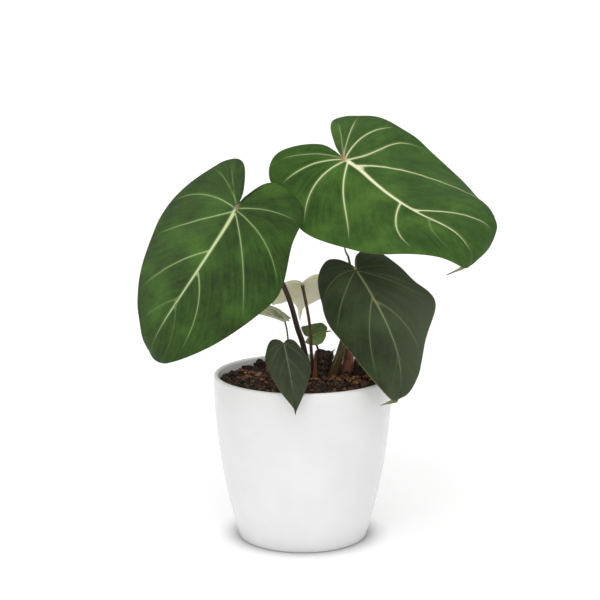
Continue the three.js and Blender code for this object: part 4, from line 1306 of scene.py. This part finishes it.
def papery(name, ground_tint, stripe, edge_tint, low=14, high=30):
    """A dried leaf sheath: paper-thin and dull, with fibres along it, and darker at its torn end."""
    material, tree = new_material(name)
    wrapped = add(tree, "Attribute", attribute_name="wrapped").outputs["Vector"]
    # fibres 0.7 mm wide and 12 mm long, and patches of 6 mm
    drawn_out = add(tree, "Mapping", {"Vector": wrapped, "Scale": (1 / 0.7, 1 / 0.7, 1 / 12)})
    fibres = add(tree, "TexNoise", {"Vector": drawn_out, "Scale": 1, "Detail": 4, "Roughness": 0.6})
    patches = add(tree, "TexNoise", {"Vector": wrapped, "Scale": 1 / 6, "Detail": 3})
    height = add(tree, "SeparateXYZ", {0: wrapped}).outputs["Z"]
    skin = layered(tree, colour(ground_tint), [
        (fibres, 0.4, 0.7, stripe),
        (patches, 0.45, 0.65, edge_tint, 0.6),
        (height, low, high, edge_tint, 0.5),
    ])
    add(tree, "OutputMaterial", {"Surface": add(tree, "BsdfPrincipled", {
        "Base Color": skin,
        "Roughness": 0.6,
        "Normal": add(tree, "Bump", {"Height": fibres, "Distance": 0.3 * MM, "Strength": 0.7}),
        "Specular IOR Level": 0.25,
    })})
    return material


def make_sheath(name, material):
    """A curved papery strip, open behind, narrowing to a torn top."""
    spec = SHEATHS[name]
    across, up = 28, 44
    foot, top = np.array(spec["foot"], float), np.array(spec["top"], float)
    low, high = spec["radius"]
    outer, inner, wrapped = [], [], []
    for j in range(up + 1):
        h = j / up
        spread = spec["spread"] * (1 - 0.75 * h**2.5)
        for i in range(across + 1):
            side = 2 * i / across - 1
            angle = radians(spec["facing"] + spread * side)
            torn = 1.1 * noise.noise(Vector((4 * side, 3.1, low))) * smooth(0.8, 1, h)
            r = lerp(low, high, h) + 0.25 * noise.noise(Vector((5 * side, 5 * h, low)))
            spot = lerp(foot, top, h) + (0, 0, float(torn) - 0.6 * h)
            out = np.array((cos(angle), sin(angle), 0))
            thin = SHEATH_THICKNESS / 2 * (1 - 0.6 * abs(side) ** 4)
            outer.append(spot + out * (r + thin))
            inner.append(spot + out * (r - thin))
            wrapped.append((r * radians(spread * side), 0, h * (top[2] - foot[2])))
    row, count = across + 1, (across + 1) * (up + 1)
    faces = []
    for j in range(up):
        for i in range(across):
            a, b, c, d = j * row + i, j * row + i + 1, (j + 1) * row + i + 1, (j + 1) * row + i
            faces += [(a, b, c, d), (count + d, count + c, count + b, count + a)]
    rim = [i for i in range(across)] + [j * row + across for j in range(up)]
    rim += [up * row + i for i in range(across, 0, -1)] + [j * row for j in range(up, 0, -1)]
    faces += [(b, a, count + a, count + b) for a, b in zip(rim, rim[1:] + rim[:1])]
    attributes = {"wrapped": wrapped + wrapped}
    piece(f"cataphyll_{name}", outer + inner, faces, material, f"sheath_{name}", attributes)


# ---------------------------------------------------------------- floor and light


def make_floor():
    """A pale floor that is lit a little from below. Round the foot a contact shadow is painted: its
    colour is darker there and it is unlit, which deepens the shade beyond what the soft lights cast."""
    material, tree = new_material("pale lit floor")
    place = add(tree, "TexCoord").outputs["Object"]
    cloud = add(tree, "TexNoise", {"Vector": place, "Scale": 1 / (25 * MM), "Detail": 2})
    away = add(tree, "VectorMath", {0: place}, operation="LENGTH").outputs["Value"]
    # the painted contact shadow round the foot is gone 25 mm from its edge
    shade = add(tree, "MapRange", {0: away, 1: 75 * MM, 2: 50 * MM})
    shade = add(tree, "Math", {0: shade, 1: 2.2}, operation="POWER")
    tone = add(tree, "Mix", {"Factor": cloud, "A": colour("f7f7f7"), "B": colour("f9f9f9")}, **COLOURS)
    add(tree, "OutputMaterial", {"Surface": add(tree, "BsdfPrincipled", {
        # painted contact shadow: a darker colour round the foot
        "Base Color": add(tree, "Mix", {"Factor": shade, "A": tone, "B": colour("bababa")}, **COLOURS),
        "Roughness": 0.9,
        "Specular IOR Level": 0.1,
        "Emission Color": (1, 1, 1, 1),
        # painted contact shadow: no glow round the foot
        "Emission Strength": add(tree, "MapRange", {0: shade, 3: 0.2, 4: 0}),
    })})
    reach = 60  # metres from the middle to each side
    mesh = bpy.data.meshes.new("floor")
    corners = [(-reach, -reach, 0), (reach, -reach, 0), (reach, reach, 0), (-reach, reach, 0)]
    mesh.from_pydata(corners, [], [(0, 1, 2, 3)])
    mesh.materials.append(material)
    put("floor", mesh)


def add_sun(name, strength, angle, tilt, turn):
    """A soft distant light, tilt degrees from overhead towards turn (0 is from +X)."""
    data = bpy.data.lights.new(name, "SUN")
    data.energy = strength
    data.angle = radians(angle)
    put(name, data).rotation_euler = Euler((0, radians(tilt), radians(turn)))


def light_studio():
    world = bpy.data.worlds.new("studio")
    world.use_nodes = True
    sky = world.node_tree.nodes["Background"]
    sky.inputs["Color"].default_value = (1, 1, 1, 1)
    sky.inputs["Strength"].default_value = 0.53
    bpy.context.scene.world = world
    add_sun("front", strength=0.9, angle=60, tilt=55, turn=-95)
    add_sun("overhead", strength=0.9, angle=80, tilt=12, turn=-130)
    bpy.context.scene.view_settings.view_transform = "Standard"


# ---------------------------------------------------------------- the plant


def leaf_materials():
    under = leaf_underside("leaf underside", "7d8c58", "5f7043", "a5a878")
    small_under = leaf_underside("small leaf underside", "b8bc94", "5c6a4e", "d2cfae")
    pale_under = leaf_underside("young leaf underside", "fff4d8", "f2f2b4", "fffae8", glow=0.8)
    # each leaf has painted sky light: one half painted paler, by the amount given with its keywords
    return {
        "left": [velvet_leaf(
            "velvet leaf, deep green", "243716", "3e5c22", "54802c", "ccd6a4", "86a066", "4a4a34", "55583c",
            painted_sky_light=-0.1,
        ), under],
        "upper": [velvet_leaf(
            "velvet leaf, bright green", "2b4715", "436825", "5f8634", "efeccb", "bcc890", "6a5a3c", "8a6238",
            painted_sky_light=0.08,
        ), under],
        "right": [velvet_leaf(
            "velvet leaf, dull green", "1e2716", "303e23", "465632", "94905f", "667250", "a08a5e", "4c3c2c",
            margin_width=0.7, painted_sky_light=0.4, sky="66745a",
        ), under],
        "front": [velvet_leaf(
            "small velvet leaf", "232a1a", "39422d", "4c553b", "8c9274", "676e54", "6e5044", "4a4436",
            margin_width=0.4, painted_sky_light=0.3, sky="545c48",
        ), under],
        "folded": [velvet_leaf(
            "folded leaf", "3c4a34", "5f6e4e", "a8a884", "c9cca0", "98a078", "8a6a58", "6a4a38",
        ), small_under],
        "young": [velvet_leaf(
            "young leaf", "b4c070", "dcdfa6", "eceac8", "f0f0d0", "dce2b0", "5a5a4c", "8a7a58",
            margin_width=0.6, painted_sky_light=0.3, sky="f4ecd4",
        ), pale_under],
        "inner": [velvet_leaf(
            "inner leaf", "5a6c44", "76a052", "a8cc74", "c0c894", "a0ae7c", "9a7a50", "6a4a38",
            margin_width=0.7, painted_sky_light=0.4, sky="5c6248",
        ), small_under],
    }


def make_leaves():
    looks = leaf_materials()
    dark = striped_stalk("stalk skin, purple-brown", "33241f", "5a463a", "3c2a20", 30, "4c3a30", 110)
    olive = striped_stalk("stalk skin, olive", "403c20", "857a52", "5a4426", 30, "b4a88c", 95)
    amber = striped_stalk("stalk skin, amber", "4a3218", "7a5a34", "3a2c24", 40, "5c4426", 60)
    reddish = striped_stalk("stalk skin, reddish", "4f332a", "8a6450", "5c3426", 20, "6c5548", 50)
    skins = {
        "left": (dark, "stalk_dark"), "upper": (olive, "stalk_olive"), "right": (olive, "stalk_olive"),
        "front": (dark, "stalk_dark"), "folded": (reddish, "stalk_dark"), "young": (amber, "stalk_dark"),
        "inner": (reddish, "stalk_dark"),
    }
    for name in LEAVES:
        leaf = make_blade(name, looks[name], fine=name in ("left", "upper", "right"))
        make_stalk(name, leaf, *skins[name])


place_camera()
make_floor()
light_studio()
make_pot(pot_plastic())
make_soil(peat())
dress_soil()
corky = fibrous_bark()
make_rhizome(corky)
make_fibres(corky)
make_sheath("large", papery("dried sheath, red-brown", "8a5448", "b07660", "5e383a", low=22, high=42))
make_sheath("small", papery("dried sheath, tan", "704632", "9a6a4c", "583428"))
make_leaves()
